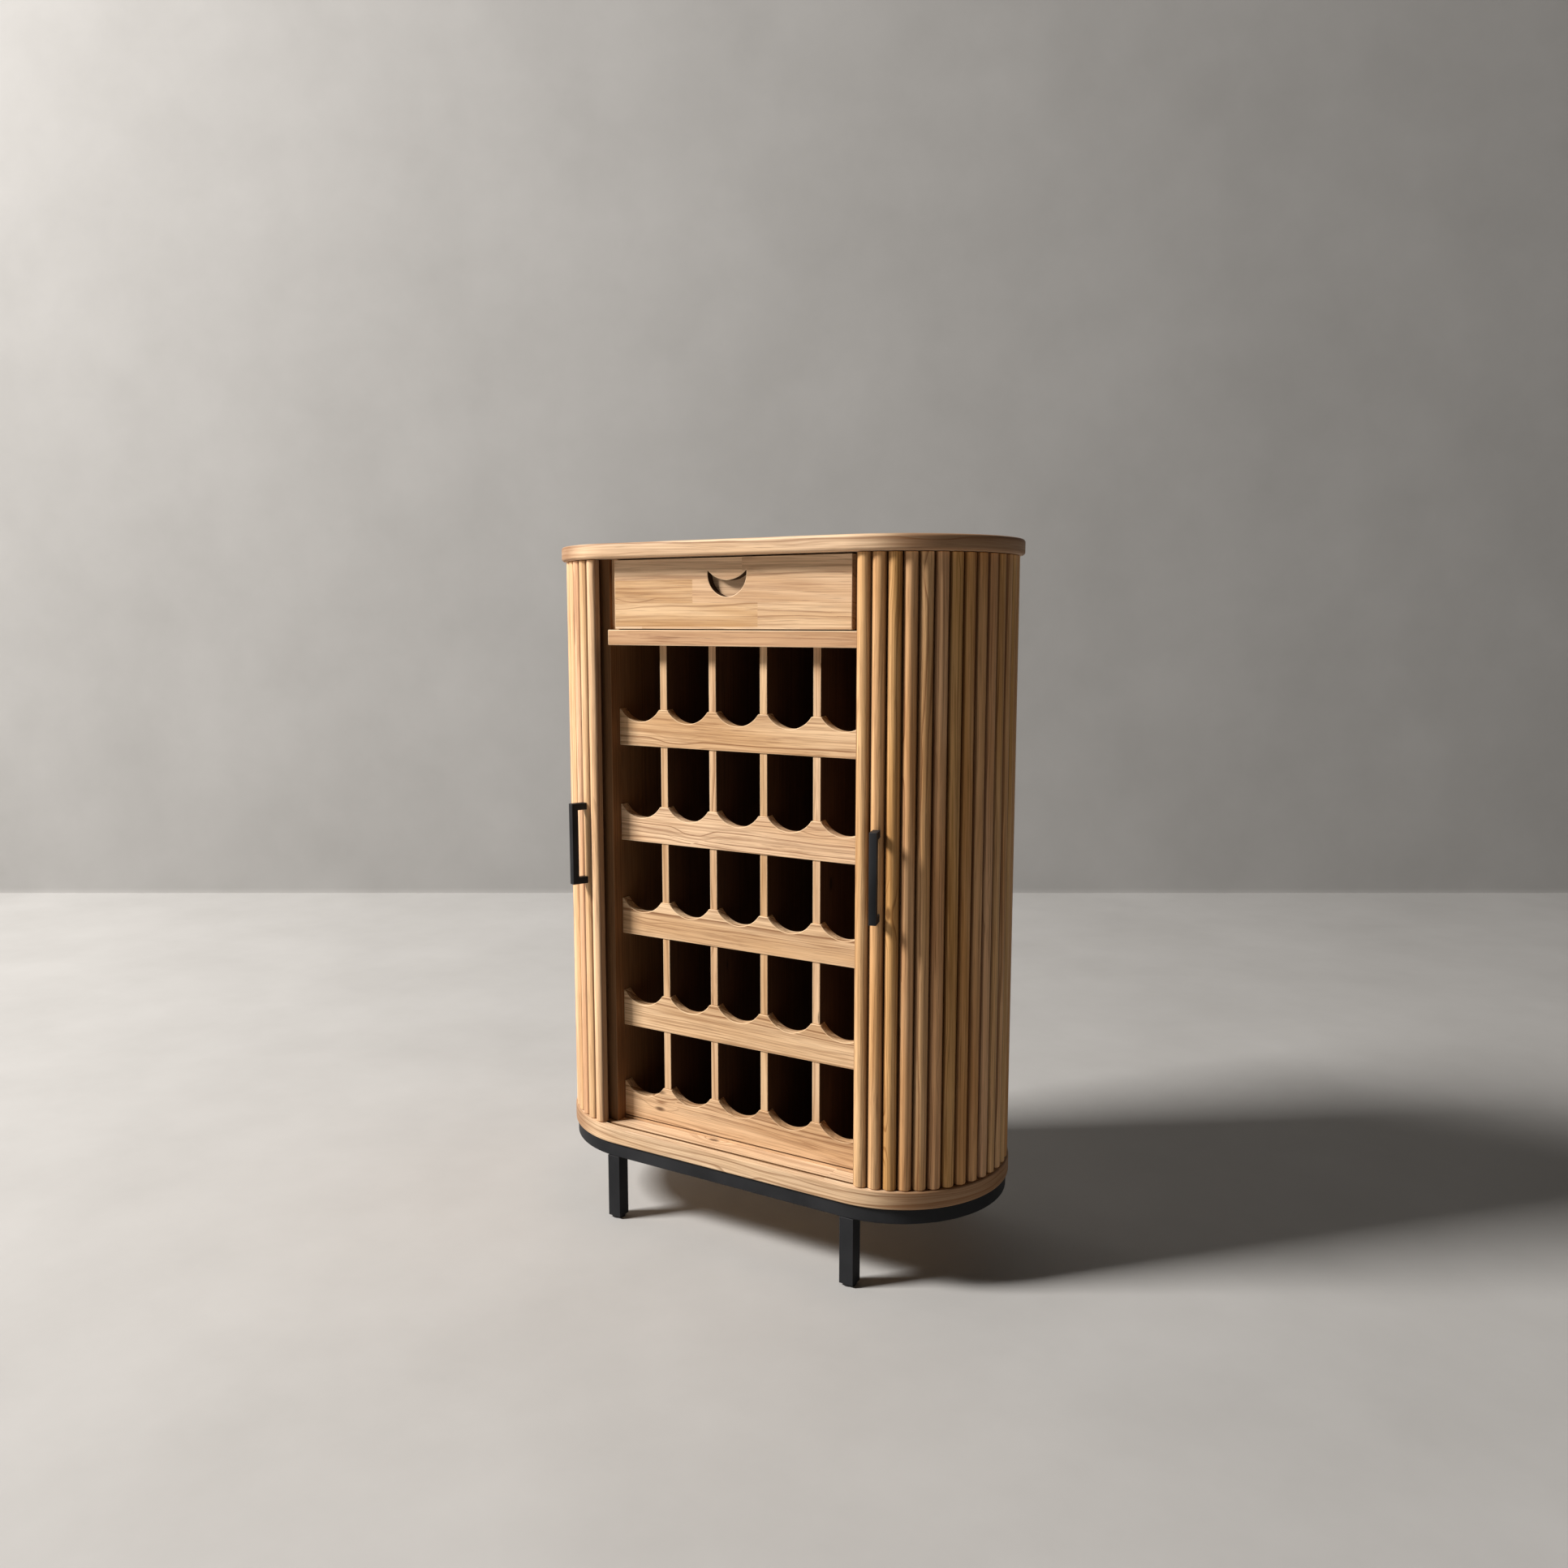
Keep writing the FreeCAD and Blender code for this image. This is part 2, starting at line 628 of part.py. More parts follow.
def make_canvas(side, first, last):
    """The canvas behind the slats that stay on the rounded end."""
    name = f"{side}_door_canvas"
    across = SIDES[side]
    half_slat = size("slat_width") / 2 / size("back_radius")
    start = slat_angle(side, first) - half_slat / 2
    end = slat_angle(side, last) + half_slat / 2
    bottom = "slat_bottom + canvas_margin"
    length = "slat_length - 2 * canvas_margin"
    centre = (f"{across} * end_x", "0", bottom)
    sheet_outside = rod(name + "_outside", "back_radius - glue_line", length, centre)
    sheet_outside.Angle = math.degrees(end - start)
    first_turn = start - math.pi / 2 if across > 0 else -math.pi / 2 - end
    sheet_outside.Placement.Rotation = FreeCAD.Rotation(FreeCAD.Vector(0, 0, 1), math.degrees(first_turn))
    inside = rod(name + "_inside", "back_radius - glue_line - canvas_thick", length, centre)
    keep(cut(name, sheet_outside, [inside]))


def make_doors():
    """Two doors of slats, stood open round the rounded ends."""
    handle_index = 1
    leading, total = slat_counts()
    for side in SIDES:
        for index in range(leading):
            name = f"{side}_slat_{index + 1:02d}"
            place = slat_place(side, index)
            if index == handle_index:
                seats = handle_posts(name + "_seat", "slat_thick")
                slat = cut(name, make_slat(name + "_blank", False), seats)
                handle = keep(make_handle(f"{side}_handle"))
                handle.Placement = place
            else:
                slat = make_slat(name, False)
            slat.Placement = place
            keep(slat)
        end_slats = []
        for index in range(leading, total):
            slat = make_slat(f"{side}_end_slat_{index + 1:02d}", True)
            slat.Placement = slat_place(side, index)
            end_slats.append(slat)
        keep(group(f"{side}_end_slats", end_slats))
        make_canvas(side, leading, total - 1)


def check_and_write():
    """Stop on any failed object or bad shape, then write one STEP file for each sub-part."""
    doc.recompute()
    failed = [thing.Name for thing in doc.Objects if {"Invalid", "Error"} & set(thing.State)]
    bad = [piece.Label for piece in pieces if piece.Shape.isNull() or not piece.Shape.isValid()]
    if failed or bad:
        raise RuntimeError(f"failed objects {failed}, bad shapes {bad}")
    os.makedirs("parts", exist_ok=True)
    for piece in pieces:
        piece.Shape.exportStep(os.path.join("parts", piece.Label + ".step"))
    print(len(pieces), "sub-parts,", sum(len(piece.Shape.Solids) for piece in pieces), "solids")


fill_sheet()
make_boards()
make_ring_frame()
make_frame_screws()
make_legs()
make_carcass()
make_rack()
make_drawer()
make_doors()
check_and_write()
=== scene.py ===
# %% [markdown]
# # A wine cabinet with slatted doors
# The cabinet is a round-ended box of honey-coloured wood on a black steel frame. Its two doors are rows of
# half-round slats that slide round the ends. The measured solids come in first, as a fixed frame; every
# piece below is laid over the solid that it stands for, and moves with the same body.

# %% Load the measured frame
import json
import math
import random
import bmesh
import bpy
from mathutils import Matrix, Vector

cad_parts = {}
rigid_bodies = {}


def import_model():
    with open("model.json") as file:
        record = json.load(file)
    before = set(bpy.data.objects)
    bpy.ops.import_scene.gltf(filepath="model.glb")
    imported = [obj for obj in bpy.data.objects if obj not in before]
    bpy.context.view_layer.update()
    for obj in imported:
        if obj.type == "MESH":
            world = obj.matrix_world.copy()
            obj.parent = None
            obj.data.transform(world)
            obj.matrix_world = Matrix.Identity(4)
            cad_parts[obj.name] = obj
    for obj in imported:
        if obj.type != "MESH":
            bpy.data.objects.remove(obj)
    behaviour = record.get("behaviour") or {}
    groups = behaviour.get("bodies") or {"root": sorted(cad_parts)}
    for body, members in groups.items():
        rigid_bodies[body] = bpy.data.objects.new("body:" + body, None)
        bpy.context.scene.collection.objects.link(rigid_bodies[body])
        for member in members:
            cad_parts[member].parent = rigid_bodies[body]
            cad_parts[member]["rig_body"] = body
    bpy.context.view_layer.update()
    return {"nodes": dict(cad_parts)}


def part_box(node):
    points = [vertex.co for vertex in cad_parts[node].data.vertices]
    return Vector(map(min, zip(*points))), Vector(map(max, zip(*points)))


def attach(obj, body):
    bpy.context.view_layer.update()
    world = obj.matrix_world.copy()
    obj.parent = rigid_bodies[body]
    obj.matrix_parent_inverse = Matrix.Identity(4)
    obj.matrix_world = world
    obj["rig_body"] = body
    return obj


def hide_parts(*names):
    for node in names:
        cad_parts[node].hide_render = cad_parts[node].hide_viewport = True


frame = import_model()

MM = 0.001
END_X = 229 * MM  # from the middle of the plan to the centre of each rounded end

# %% [markdown]
# ## The camera
# The picture was taken from a little to the right and just under the cabinet's top, with a moderate lens.
# A camera can be placed by eye, but here its place was worked out from the cabinet's own corners, so that
# every later difference is one of shape or finish and not of viewpoint.

# %% Place the camera
SENSOR_MM, LENS_MM = 36, 30.07
CAMERA_PLACE = (1.1924, -1.9547, 1.0716)
CAMERA_TILT, CAMERA_TURN = math.radians(82.867), math.radians(31.271)
camera_data = bpy.data.cameras.new("photo_camera")
camera_data.sensor_width = SENSOR_MM
camera_data.lens = LENS_MM
camera = bpy.data.objects.new("photo_camera", camera_data)
bpy.context.scene.collection.objects.link(camera)
camera.location = CAMERA_PLACE
camera.rotation_euler = (CAMERA_TILT, 0, CAMERA_TURN)
bpy.context.scene.camera = camera
print("camera", round(camera.location.length, 2), "m from the floor's middle")

# %% [markdown]
# ## Floor and wall
# The cabinet stands on a pale floor before a pale wall, which also gives the steel something to reflect.
# Two planes would do, but one plane whose far edge is moved in and drawn up makes a sweep without a gap. It
# is turned to face the camera, so the wall's foot runs level across the picture.

# %% Fold the floor and wall
FLOOR_SIZE, WALL_BEHIND, WALL_HEIGHT = 14, 2.8, 6


def pick_only(piece):
    """Leave one object selected and active, in object mode."""
    if bpy.context.object and bpy.context.object.mode != "OBJECT":
        bpy.ops.object.mode_set(mode="OBJECT")
    bpy.ops.object.select_all(action="DESELECT")
    piece.select_set(True)
    bpy.context.view_layer.objects.active = piece


def select_part(piece, kind, wanted):
    """In edit mode, select the vertices, edges or faces for which wanted(corner points) holds."""
    pick_only(piece)
    bpy.ops.object.mode_set(mode="EDIT")
    bpy.ops.mesh.select_mode(type=kind)
    bpy.ops.mesh.select_all(action="DESELECT")
    mesh = bmesh.from_edit_mesh(piece.data)
    parts = {"VERT": mesh.verts, "EDGE": mesh.edges, "FACE": mesh.faces}[kind]
    for part in parts:
        corners = [part.co] if kind == "VERT" else [v.co for v in part.verts]
        if wanted(corners):
            part.select_set(True)
    mesh.select_flush_mode()
    bmesh.update_edit_mesh(piece.data)


bpy.ops.object.select_all(action="DESELECT")
bpy.ops.mesh.primitive_plane_add(size=FLOOR_SIZE, location=(0, 0, 0))
floor = bpy.context.object
floor.name = "floor"
select_part(floor, "EDGE", lambda corners: all(p.y > 0 for p in corners))
bpy.ops.transform.translate(value=(0, WALL_BEHIND - FLOOR_SIZE / 2, 0))
bpy.ops.mesh.extrude_region_move(TRANSFORM_OT_translate={"value": (0, 0, WALL_HEIGHT)})
bpy.ops.object.mode_set(mode="OBJECT")
floor.data.transform(Matrix.Rotation(CAMERA_TURN, 4, "Z"))
print("floor and wall have", len(floor.data.polygons), "faces")

# %% [markdown]
# Both have one pale tone with soft clouds in it, but in the picture the wall is a shade darker. Two
# finishes could show that; here the height above the floor tells the two apart within one.

# %% Paint the floor and wall
FLOOR_CLOUDS = {"Scale": 2.2, "Detail": 6.0, "Roughness": 0.62}
FLOOR_TONES = ((0.3, (0.44, 0.43, 0.415, 1)), (0.72, (0.50, 0.49, 0.475, 1)))
FLOOR_ROUGHNESS = 0.75
WALL_TONE, WALL_FOOT = 0.84, 0.02


def new_material(name):
    """An empty node material, with its tree and its shader."""
    material = bpy.data.materials.new(name)
    material.use_nodes = True
    tree = material.node_tree
    return material, tree, tree.nodes["Principled BSDF"]


def add_node(tree, kind, links=None, **settings):
    """A node with its properties set, and its inputs given as values or as sockets to link."""
    node = tree.nodes.new("ShaderNode" + kind)
    for name, value in settings.items():
        setattr(node, name, value)
    for name, value in (links or {}).items():
        socket = node.inputs[name]
        if isinstance(value, bpy.types.NodeSocket):
            tree.links.new(value, socket)
        else:
            socket.default_value = value
    return node


floor_finish, tree, shader = new_material("pale_floor")
place = add_node(tree, "TexCoord").outputs["Object"]
cloud = add_node(tree, "TexNoise", {"Vector": place, **FLOOR_CLOUDS})
shade = add_node(tree, "ValToRGB", {"Fac": cloud.outputs["Fac"]})
for stop, (position, colour) in zip(shade.color_ramp.elements, FLOOR_TONES):
    stop.position = position
    stop.color = colour
height = add_node(tree, "SeparateXYZ", {"Vector": place}).outputs["Z"]
tone = add_node(tree, "MapRange", {
    "Value": height, "From Max": WALL_FOOT, "To Min": 1.0, "To Max": WALL_TONE
}).outputs["Result"]
painted = add_node(tree, "HueSaturation", {"Color": shade.outputs["Color"], "Value": tone})
tree.links.new(painted.outputs["Color"], shader.inputs["Base Color"])
shader.inputs["Roughness"].default_value = FLOOR_ROUGHNESS
floor.data.materials.append(floor_finish)
print("floor and wall painted:", floor_finish.name)

# %% [markdown]
# ## The light
# The cabinet stands in daylight, and a weak sky keeps its shadows open. Past the sweep's edges the sky
# itself looks like the wall: it is pale for the rays that show it, and stays weak for those that light.

# %% Set the sky
SKY_COLOUR, SKY_STRENGTH = (1.0, 0.72, 0.48, 1), 0.006
STUDIO_COLOUR, STUDIO_STRENGTH = (0.50, 0.49, 0.475, 1), 0.7
world = bpy.data.worlds.new("daylight")
bpy.context.scene.world = world
world.use_nodes = True
tree = world.node_tree
sky = tree.nodes["Background"]
sky.inputs["Color"].default_value = SKY_COLOUR
sky.inputs["Strength"].default_value = SKY_STRENGTH
studio = add_node(tree, "Background", {"Color": STUDIO_COLOUR, "Strength": STUDIO_STRENGTH})
rays = add_node(tree, "LightPath").outputs
shown = rays["Is Camera Ray"]
for kind in ("Is Glossy Ray", "Is Transmission Ray"):
    shown = add_node(tree, "Math", {0: shown, 1: rays[kind]}, operation="MAXIMUM").outputs[0]
backdrop = add_node(tree, "MixShader", {0: shown, 1: sky.outputs[0], 2: studio.outputs[0]})
tree.links.new(backdrop.outputs[0], tree.nodes["World Output"].inputs["Surface"])
print("sky of", SKY_STRENGTH, "where it lights and", STUDIO_STRENGTH, "where it shows")

# %% [markdown]
# The daylight falls from the left and from above, so each slat is lit on its left flank and the slats of
# the right end sink into shade one by one. More lamps would fill that shade in, so one large lamp gives the
# fall-off; it stands well back, so the foot of the cabinet gets as much light as the top.

# %% Place the lamp
LAMP_SIZE, LAMP_POWER, LAMP_COLOUR = 2.2, 1460, (1.0, 0.97, 0.94)
LAMP_PLACE, LAMP_TARGET = Vector((-5.46, -4.92, 6.4)), Vector((0, 0, 0.65))
lamp_data = bpy.data.lights.new("window_light", "AREA")
lamp_data.shape = "RECTANGLE"
lamp_data.size = LAMP_SIZE
lamp_data.size_y = LAMP_SIZE
lamp_data.energy = LAMP_POWER
lamp_data.color = LAMP_COLOUR
lamp = bpy.data.objects.new("window_light", lamp_data)
bpy.context.scene.collection.objects.link(lamp)
lamp.location = LAMP_PLACE
lamp.rotation_euler = (LAMP_TARGET - LAMP_PLACE).to_track_quat("-Z", "Y").to_euler()
bpy.context.scene.view_settings.view_transform = "Standard"
print("stage ready:", floor.name, "and one lamp")

# %% [markdown]
# ## Wood figure, as a shader group
# All the wood shows the same kind of figure: growth rings cut along their length, fine fibres, short dark
# pores and a rare knot that the rings bend round. A picture of wood would stretch round the slats, so the
# figure is a solid texture, looked up at each point of the piece. It is built once, as a group, and each
# wood gives it its own direction, ring width, stave width and colours. It takes many nodes, so a few short
# forms come first.

# %% Write short forms for the nodes
SLANT_Y, SLANT_Z = 0.37, 0.61


def new_group(name, inputs, outputs):
    """A shader group with its sockets; inputs are (name, kind, default)."""
    tree = bpy.data.node_groups.new(name, "ShaderNodeTree")
    for title, kind, default in inputs:
        socket = tree.interface.new_socket(name=title, in_out="INPUT", socket_type="NodeSocket" + kind)
        if default is not None:
            socket.default_value = default
    for title in outputs:
        tree.interface.new_socket(name=title, in_out="OUTPUT", socket_type="NodeSocketFloat")
    entry = tree.nodes.new("NodeGroupInput")
    leave = tree.nodes.new("NodeGroupOutput")
    return tree, entry.outputs, leave.inputs


def maths(tree, operation, first, second=0.0):
    """One sum of two values or sockets."""
    return add_node(tree, "Math", {0: first, 1: second}, operation=operation).outputs[0]


def vectors(tree, operation, first, second=(0.0, 0.0, 0.0)):
    """One sum of two vectors or sockets."""
    return add_node(tree, "VectorMath", {0: first, 1: second}, operation=operation).outputs[0]


def ramp(tree, value, low, high):
    """0 at one value, 1 at another, smooth between them."""
    links = {"Value": value, "From Min": low, "From Max": high}
    return add_node(tree, "MapRange", links, interpolation_type="SMOOTHSTEP").outputs["Result"]


def stretched_noise(tree, vector, scale, detail, roughness=0.5):
    """Noise whose grain is drawn out along X, with its cells slanted so that they line up nowhere."""
    axes = add_node(tree, "SeparateXYZ", {"Vector": vectors(tree, "MULTIPLY", vector, scale)}).outputs
    slant_y = maths(tree, "MULTIPLY", axes["Y"], SLANT_Y)
    slant_z = maths(tree, "MULTIPLY", axes["Z"], SLANT_Z)
    along = maths(tree, "ADD", axes["X"], maths(tree, "ADD", slant_y, slant_z))
    slanted = add_node(tree, "CombineXYZ", {"X": along, "Y": axes["Y"], "Z": axes["Z"]}).outputs["Vector"]
    links = {"Vector": slanted, "Scale": 1.0, "Detail": detail, "Roughness": roughness}
    return add_node(tree, "TexNoise", links).outputs


def wobble(tree, vector, scale, amount):
    """A small sideways shift that changes slowly along the grain."""
    noise = stretched_noise(tree, vector, scale, 2.0)
    centred = vectors(tree, "SUBTRACT", noise["Color"], (0.5, 0.5, 0.5))
    return vectors(tree, "MULTIPLY", centred, (0.0, amount, amount))


print("short forms ready")

# %% [markdown]
# A wide board is glued up from narrow staves, each with a figure of its own. They could be separate pieces,
# but their joints show only in the figure, so the group finds the stave that a point lies in and moves the
# point by that stave's own amount. The piece's own seed moves it too, so no two slats match.

# %% Find the stave of a point
ALONG, ACROSS = (1.0, 0.0, 0.0), (0.0, 1.0, 1.0)
SEED_STEP = (3.1, 0.41, 0.57)
tree, given, result = new_group(
    "wood_figure",
    [("Vector", "Vector", None), ("Seed", "Float", 0.0), ("Ring Width", "Float", 0.006),
     ("Staves", "Vector", None)],
    ["Rings", "Fibre", "Pores", "Drift", "Streaks", "Knots", "Stave Tone"],
)
shift = add_node(tree, "VectorMath", {0: SEED_STEP, "Scale": given["Seed"]}, operation="SCALE").outputs[0]
point = vectors(tree, "ADD", given["Vector"], shift)
in_staves = vectors(tree, "ADD", vectors(tree, "DIVIDE", point, given["Staves"]), (0.5, 0.5, 0.5))
row = vectors(tree, "FLOOR", vectors(tree, "MULTIPLY", in_staves, ACROSS))
row_start = add_node(tree, "TexWhiteNoise", {"Vector": row}).outputs["Color"]
row_start = vectors(tree, "MULTIPLY", row_start, ALONG)
stave_cell = vectors(tree, "FLOOR", vectors(tree, "ADD", in_staves, row_start))
stave = add_node(tree, "TexWhiteNoise", {"Vector": stave_cell}).outputs
tree.links.new(stave["Value"], result["Stave Tone"])
point = vectors(tree, "ADD", point, stave["Color"])
print("staves take", len(tree.nodes), "nodes")

# %% [markdown]
# The rings are cylinders round a slowly bent axis, the heart of the tree, and no two of them are equally
# wide or dark. A knot is the middle of a cell in a coarse pattern of cells; only a few cells have one, and
# the rings bend round it.

# %% Draw the knots and rings
KNOT_CELLS, KNOT_SWELL = (8.0, 21.0, 21.0), 0.011
KNOT_CHANCE, KNOT_WRAP, KNOT_CORE = (0.6, 0.64), (0.5, 0.02), (0.13, 0.05)
RING_RISE, RING_FALL, RING_DARKNESS = (0.6, 0.92), (0.94, 1.0), (0.2, 1.1)
SLOW_BEND, SLOW_REACH = (1.1, 5.0, 5.0), 0.05
QUICK_BEND, QUICK_REACH = (5.0, 26.0, 26.0), 0.008
HEART = (0.0, 0.031, 0.043)
UNEVEN_SCALE, UNEVEN_TURNS = 45.0, 3.0
knot_point = vectors(tree, "MULTIPLY", point, KNOT_CELLS)
cells = add_node(tree, "TexVoronoi", {"Vector": knot_point, "Scale": 1.0}).outputs
chance = add_node(tree, "SeparateColor", {"Color": cells["Color"]}).outputs["Red"]
rare = ramp(tree, chance, *KNOT_CHANCE)
knot_wrap = maths(tree, "MULTIPLY", ramp(tree, cells["Distance"], *KNOT_WRAP), rare)
knot_core = maths(tree, "MULTIPLY", ramp(tree, cells["Distance"], *KNOT_CORE), rare)
tree.links.new(knot_core, result["Knots"])
slow = wobble(tree, point, SLOW_BEND, SLOW_REACH)
bent = vectors(tree, "ADD", slow, wobble(tree, point, QUICK_BEND, QUICK_REACH))
heart = vectors(tree, "ADD", bent, HEART)
flat_point = vectors(tree, "MULTIPLY", vectors(tree, "ADD", point, heart), ACROSS)
radius = add_node(tree, "VectorMath", {0: flat_point}, operation="LENGTH").outputs["Value"]
radius = maths(tree, "ADD", radius, maths(tree, "MULTIPLY", knot_wrap, KNOT_SWELL))
uneven = add_node(tree, "TexNoise", {
    "W": radius, "Scale": UNEVEN_SCALE, "Detail": 1.0
}, noise_dimensions="1D").outputs["Fac"]
turns = maths(tree, "DIVIDE", radius, given["Ring Width"])
turns = maths(tree, "ADD", turns, maths(tree, "MULTIPLY", uneven, UNEVEN_TURNS))
ring_number = maths(tree, "FLOOR", turns)
darkness = add_node(tree, "TexWhiteNoise", {"W": ring_number}, noise_dimensions="1D").outputs["Value"]
part = maths(tree, "FRACT", turns)
line = maths(tree, "SUBTRACT", ramp(tree, part, *RING_RISE), ramp(tree, part, *RING_FALL))
tree.links.new(maths(tree, "MULTIPLY", line, ramp(tree, darkness, *RING_DARKNESS)), result["Rings"])
print("with knots and rings:", len(tree.nodes), "nodes")

# %% [markdown]
# Fibres, pores, slow drifts of colour and streaks are one kind of noise, drawn out along the grain by
# different amounts. The streaks bend with the rings.

# %% Draw the fibres, pores, drift and streaks
FIBRE_SCALE, PORE_SCALE = (6.0, 420.0, 420.0), (22.0, 800.0, 800.0)
DRIFT_SCALE, STREAK_SCALE = (2.6, 18.0, 18.0), (3.0, 260.0, 260.0)
PORE_ONSET, DRIFT_ONSET, STREAK_ONSET = (0.62, 0.74), (0.28, 0.72), (0.42, 0.7)
fibre = stretched_noise(tree, point, FIBRE_SCALE, 3.0, 0.6)
tree.links.new(fibre["Fac"], result["Fibre"])
pores = stretched_noise(tree, point, PORE_SCALE, 1.0)
tree.links.new(ramp(tree, pores["Fac"], *PORE_ONSET), result["Pores"])
drift = stretched_noise(tree, point, DRIFT_SCALE, 3.0)
tree.links.new(ramp(tree, drift["Fac"], *DRIFT_ONSET), result["Drift"])
streaks = stretched_noise(tree, vectors(tree, "ADD", point, bent), STREAK_SCALE, 3.0, 0.6)
tree.links.new(ramp(tree, streaks["Fac"], *STREAK_ONSET), result["Streaks"])
wood_figure = tree
print("wood figure group has", len(tree.nodes), "nodes")

# %% [markdown]
# ## The woods
# Slats, boards, uprights and the inside are one kind of wood, but cut and finished apart. In most pieces
# the grain runs straight along one of the axes. A board's rim is a case of its own: its grain follows the
# rim, where a straight one would show as specks, and it darkens round the ends, partly as end grain and
# partly as painted shade.

# %% Lead the grain along a piece
RIM_RADIUS = 190 * MM
END_GRAIN_AND_SHADE_START, END_GRAIN_AND_SHADE_FULL = 40 * MM, 110 * MM


def past_end(tree, axes):
    """How far a point lies beyond the centre of its rounded end, and below 0 along the straight sides."""
    return maths(tree, "SUBTRACT", maths(tree, "ABSOLUTE", axes["X"]), END_X)


def grain_axes(tree, axes, along):
    """A point's places along and across the grain, which runs along X, Y or Z or is bent round a rim."""
    if along != "rim":
        return [axes[name] for name in {"X": "XYZ", "Y": "YZX", "Z": "ZXY"}[along]]
    past = maths(tree, "MAXIMUM", past_end(tree, axes), 0.0)
    past = maths(tree, "MULTIPLY", past, maths(tree, "SIGN", axes["X"]))
    turn = maths(tree, "ARCTAN2", past, maths(tree, "ABSOLUTE", axes["Y"]))
    straight = maths(tree, "SUBTRACT", axes["X"], past)
    bent = maths(tree, "ADD", straight, maths(tree, "MULTIPLY", turn, RIM_RADIUS))
    square = maths(tree, "ADD", maths(tree, "POWER", past, 2.0), maths(tree, "POWER", axes["Y"], 2.0))
    return [bent, maths(tree, "SQRT", square), axes["Z"]]


def end_grain_and_shade(tree, axes):
    """How much a rounded rim darkens, partly as end grain and partly as painted shade: none along the
    straight sides, all at the two ends.
    """
    return ramp(tree, past_end(tree, axes), END_GRAIN_AND_SHADE_START, END_GRAIN_AND_SHADE_FULL)


print("grain can run along", ["X", "Y", "Z", "rim"])

# %% [markdown]
# Each wood could be a material built on its own, but one function mixes them all from three colours and the
# figure group, so the woods stay related. It lays the figure over the colours as thin tints, one by one,
# and gives each piece a slightly different tone by its seed.

# %% Write the recipe of a wood
UNSPLIT = (10.0, 10.0, 10.0)
TONE_TURN, HUE_TURN = 7.31, 13.7
# Darker tones are also more saturated; on the right door's slats this is painted shade.
TONE_VALUE, TONE_HUE, TONE_SATURATION = (-0.75, 0.5), (-0.03, 0.01), (0.6, -0.6)
DARKEN = 0.4
STREAK_TINT, FIBRE_TINT, PORE_TINT, KNOT_TINT = 0.65, 0.35, 0.3, 0.85
GAP_SHADE_TINT, END_GRAIN_AND_SHADE_TINT = 0.65, 0.65
FIBRE_ONSET, POLISH_ONSET, POLISH_LOSS = (0.35, 0.75), (0.3, 0.75), 0.18
RING_RELIEF, FIBRE_RELIEF = -0.5, 0.7
WOOD_BUMP, WOOD_DEPTH, WOOD_SHEEN = 0.35, 0.6 * MM, 0.2
OILED_GLOSS = 0.46


def mix(tree, share, first, second):
    """Two colours or sockets mixed by a share."""
    return add_node(tree, "Mix", {0: share, 6: first, 7: second}, data_type="RGBA").outputs[2]


def spread(tree, value, low, high, start=0.0, end=1.0):
    """A value stretched from the range start to end to the range low to high."""
    links = {"Value": value, "From Min": start, "From Max": end, "To Min": low, "To Max": high}
    return add_node(tree, "MapRange", links).outputs["Result"]


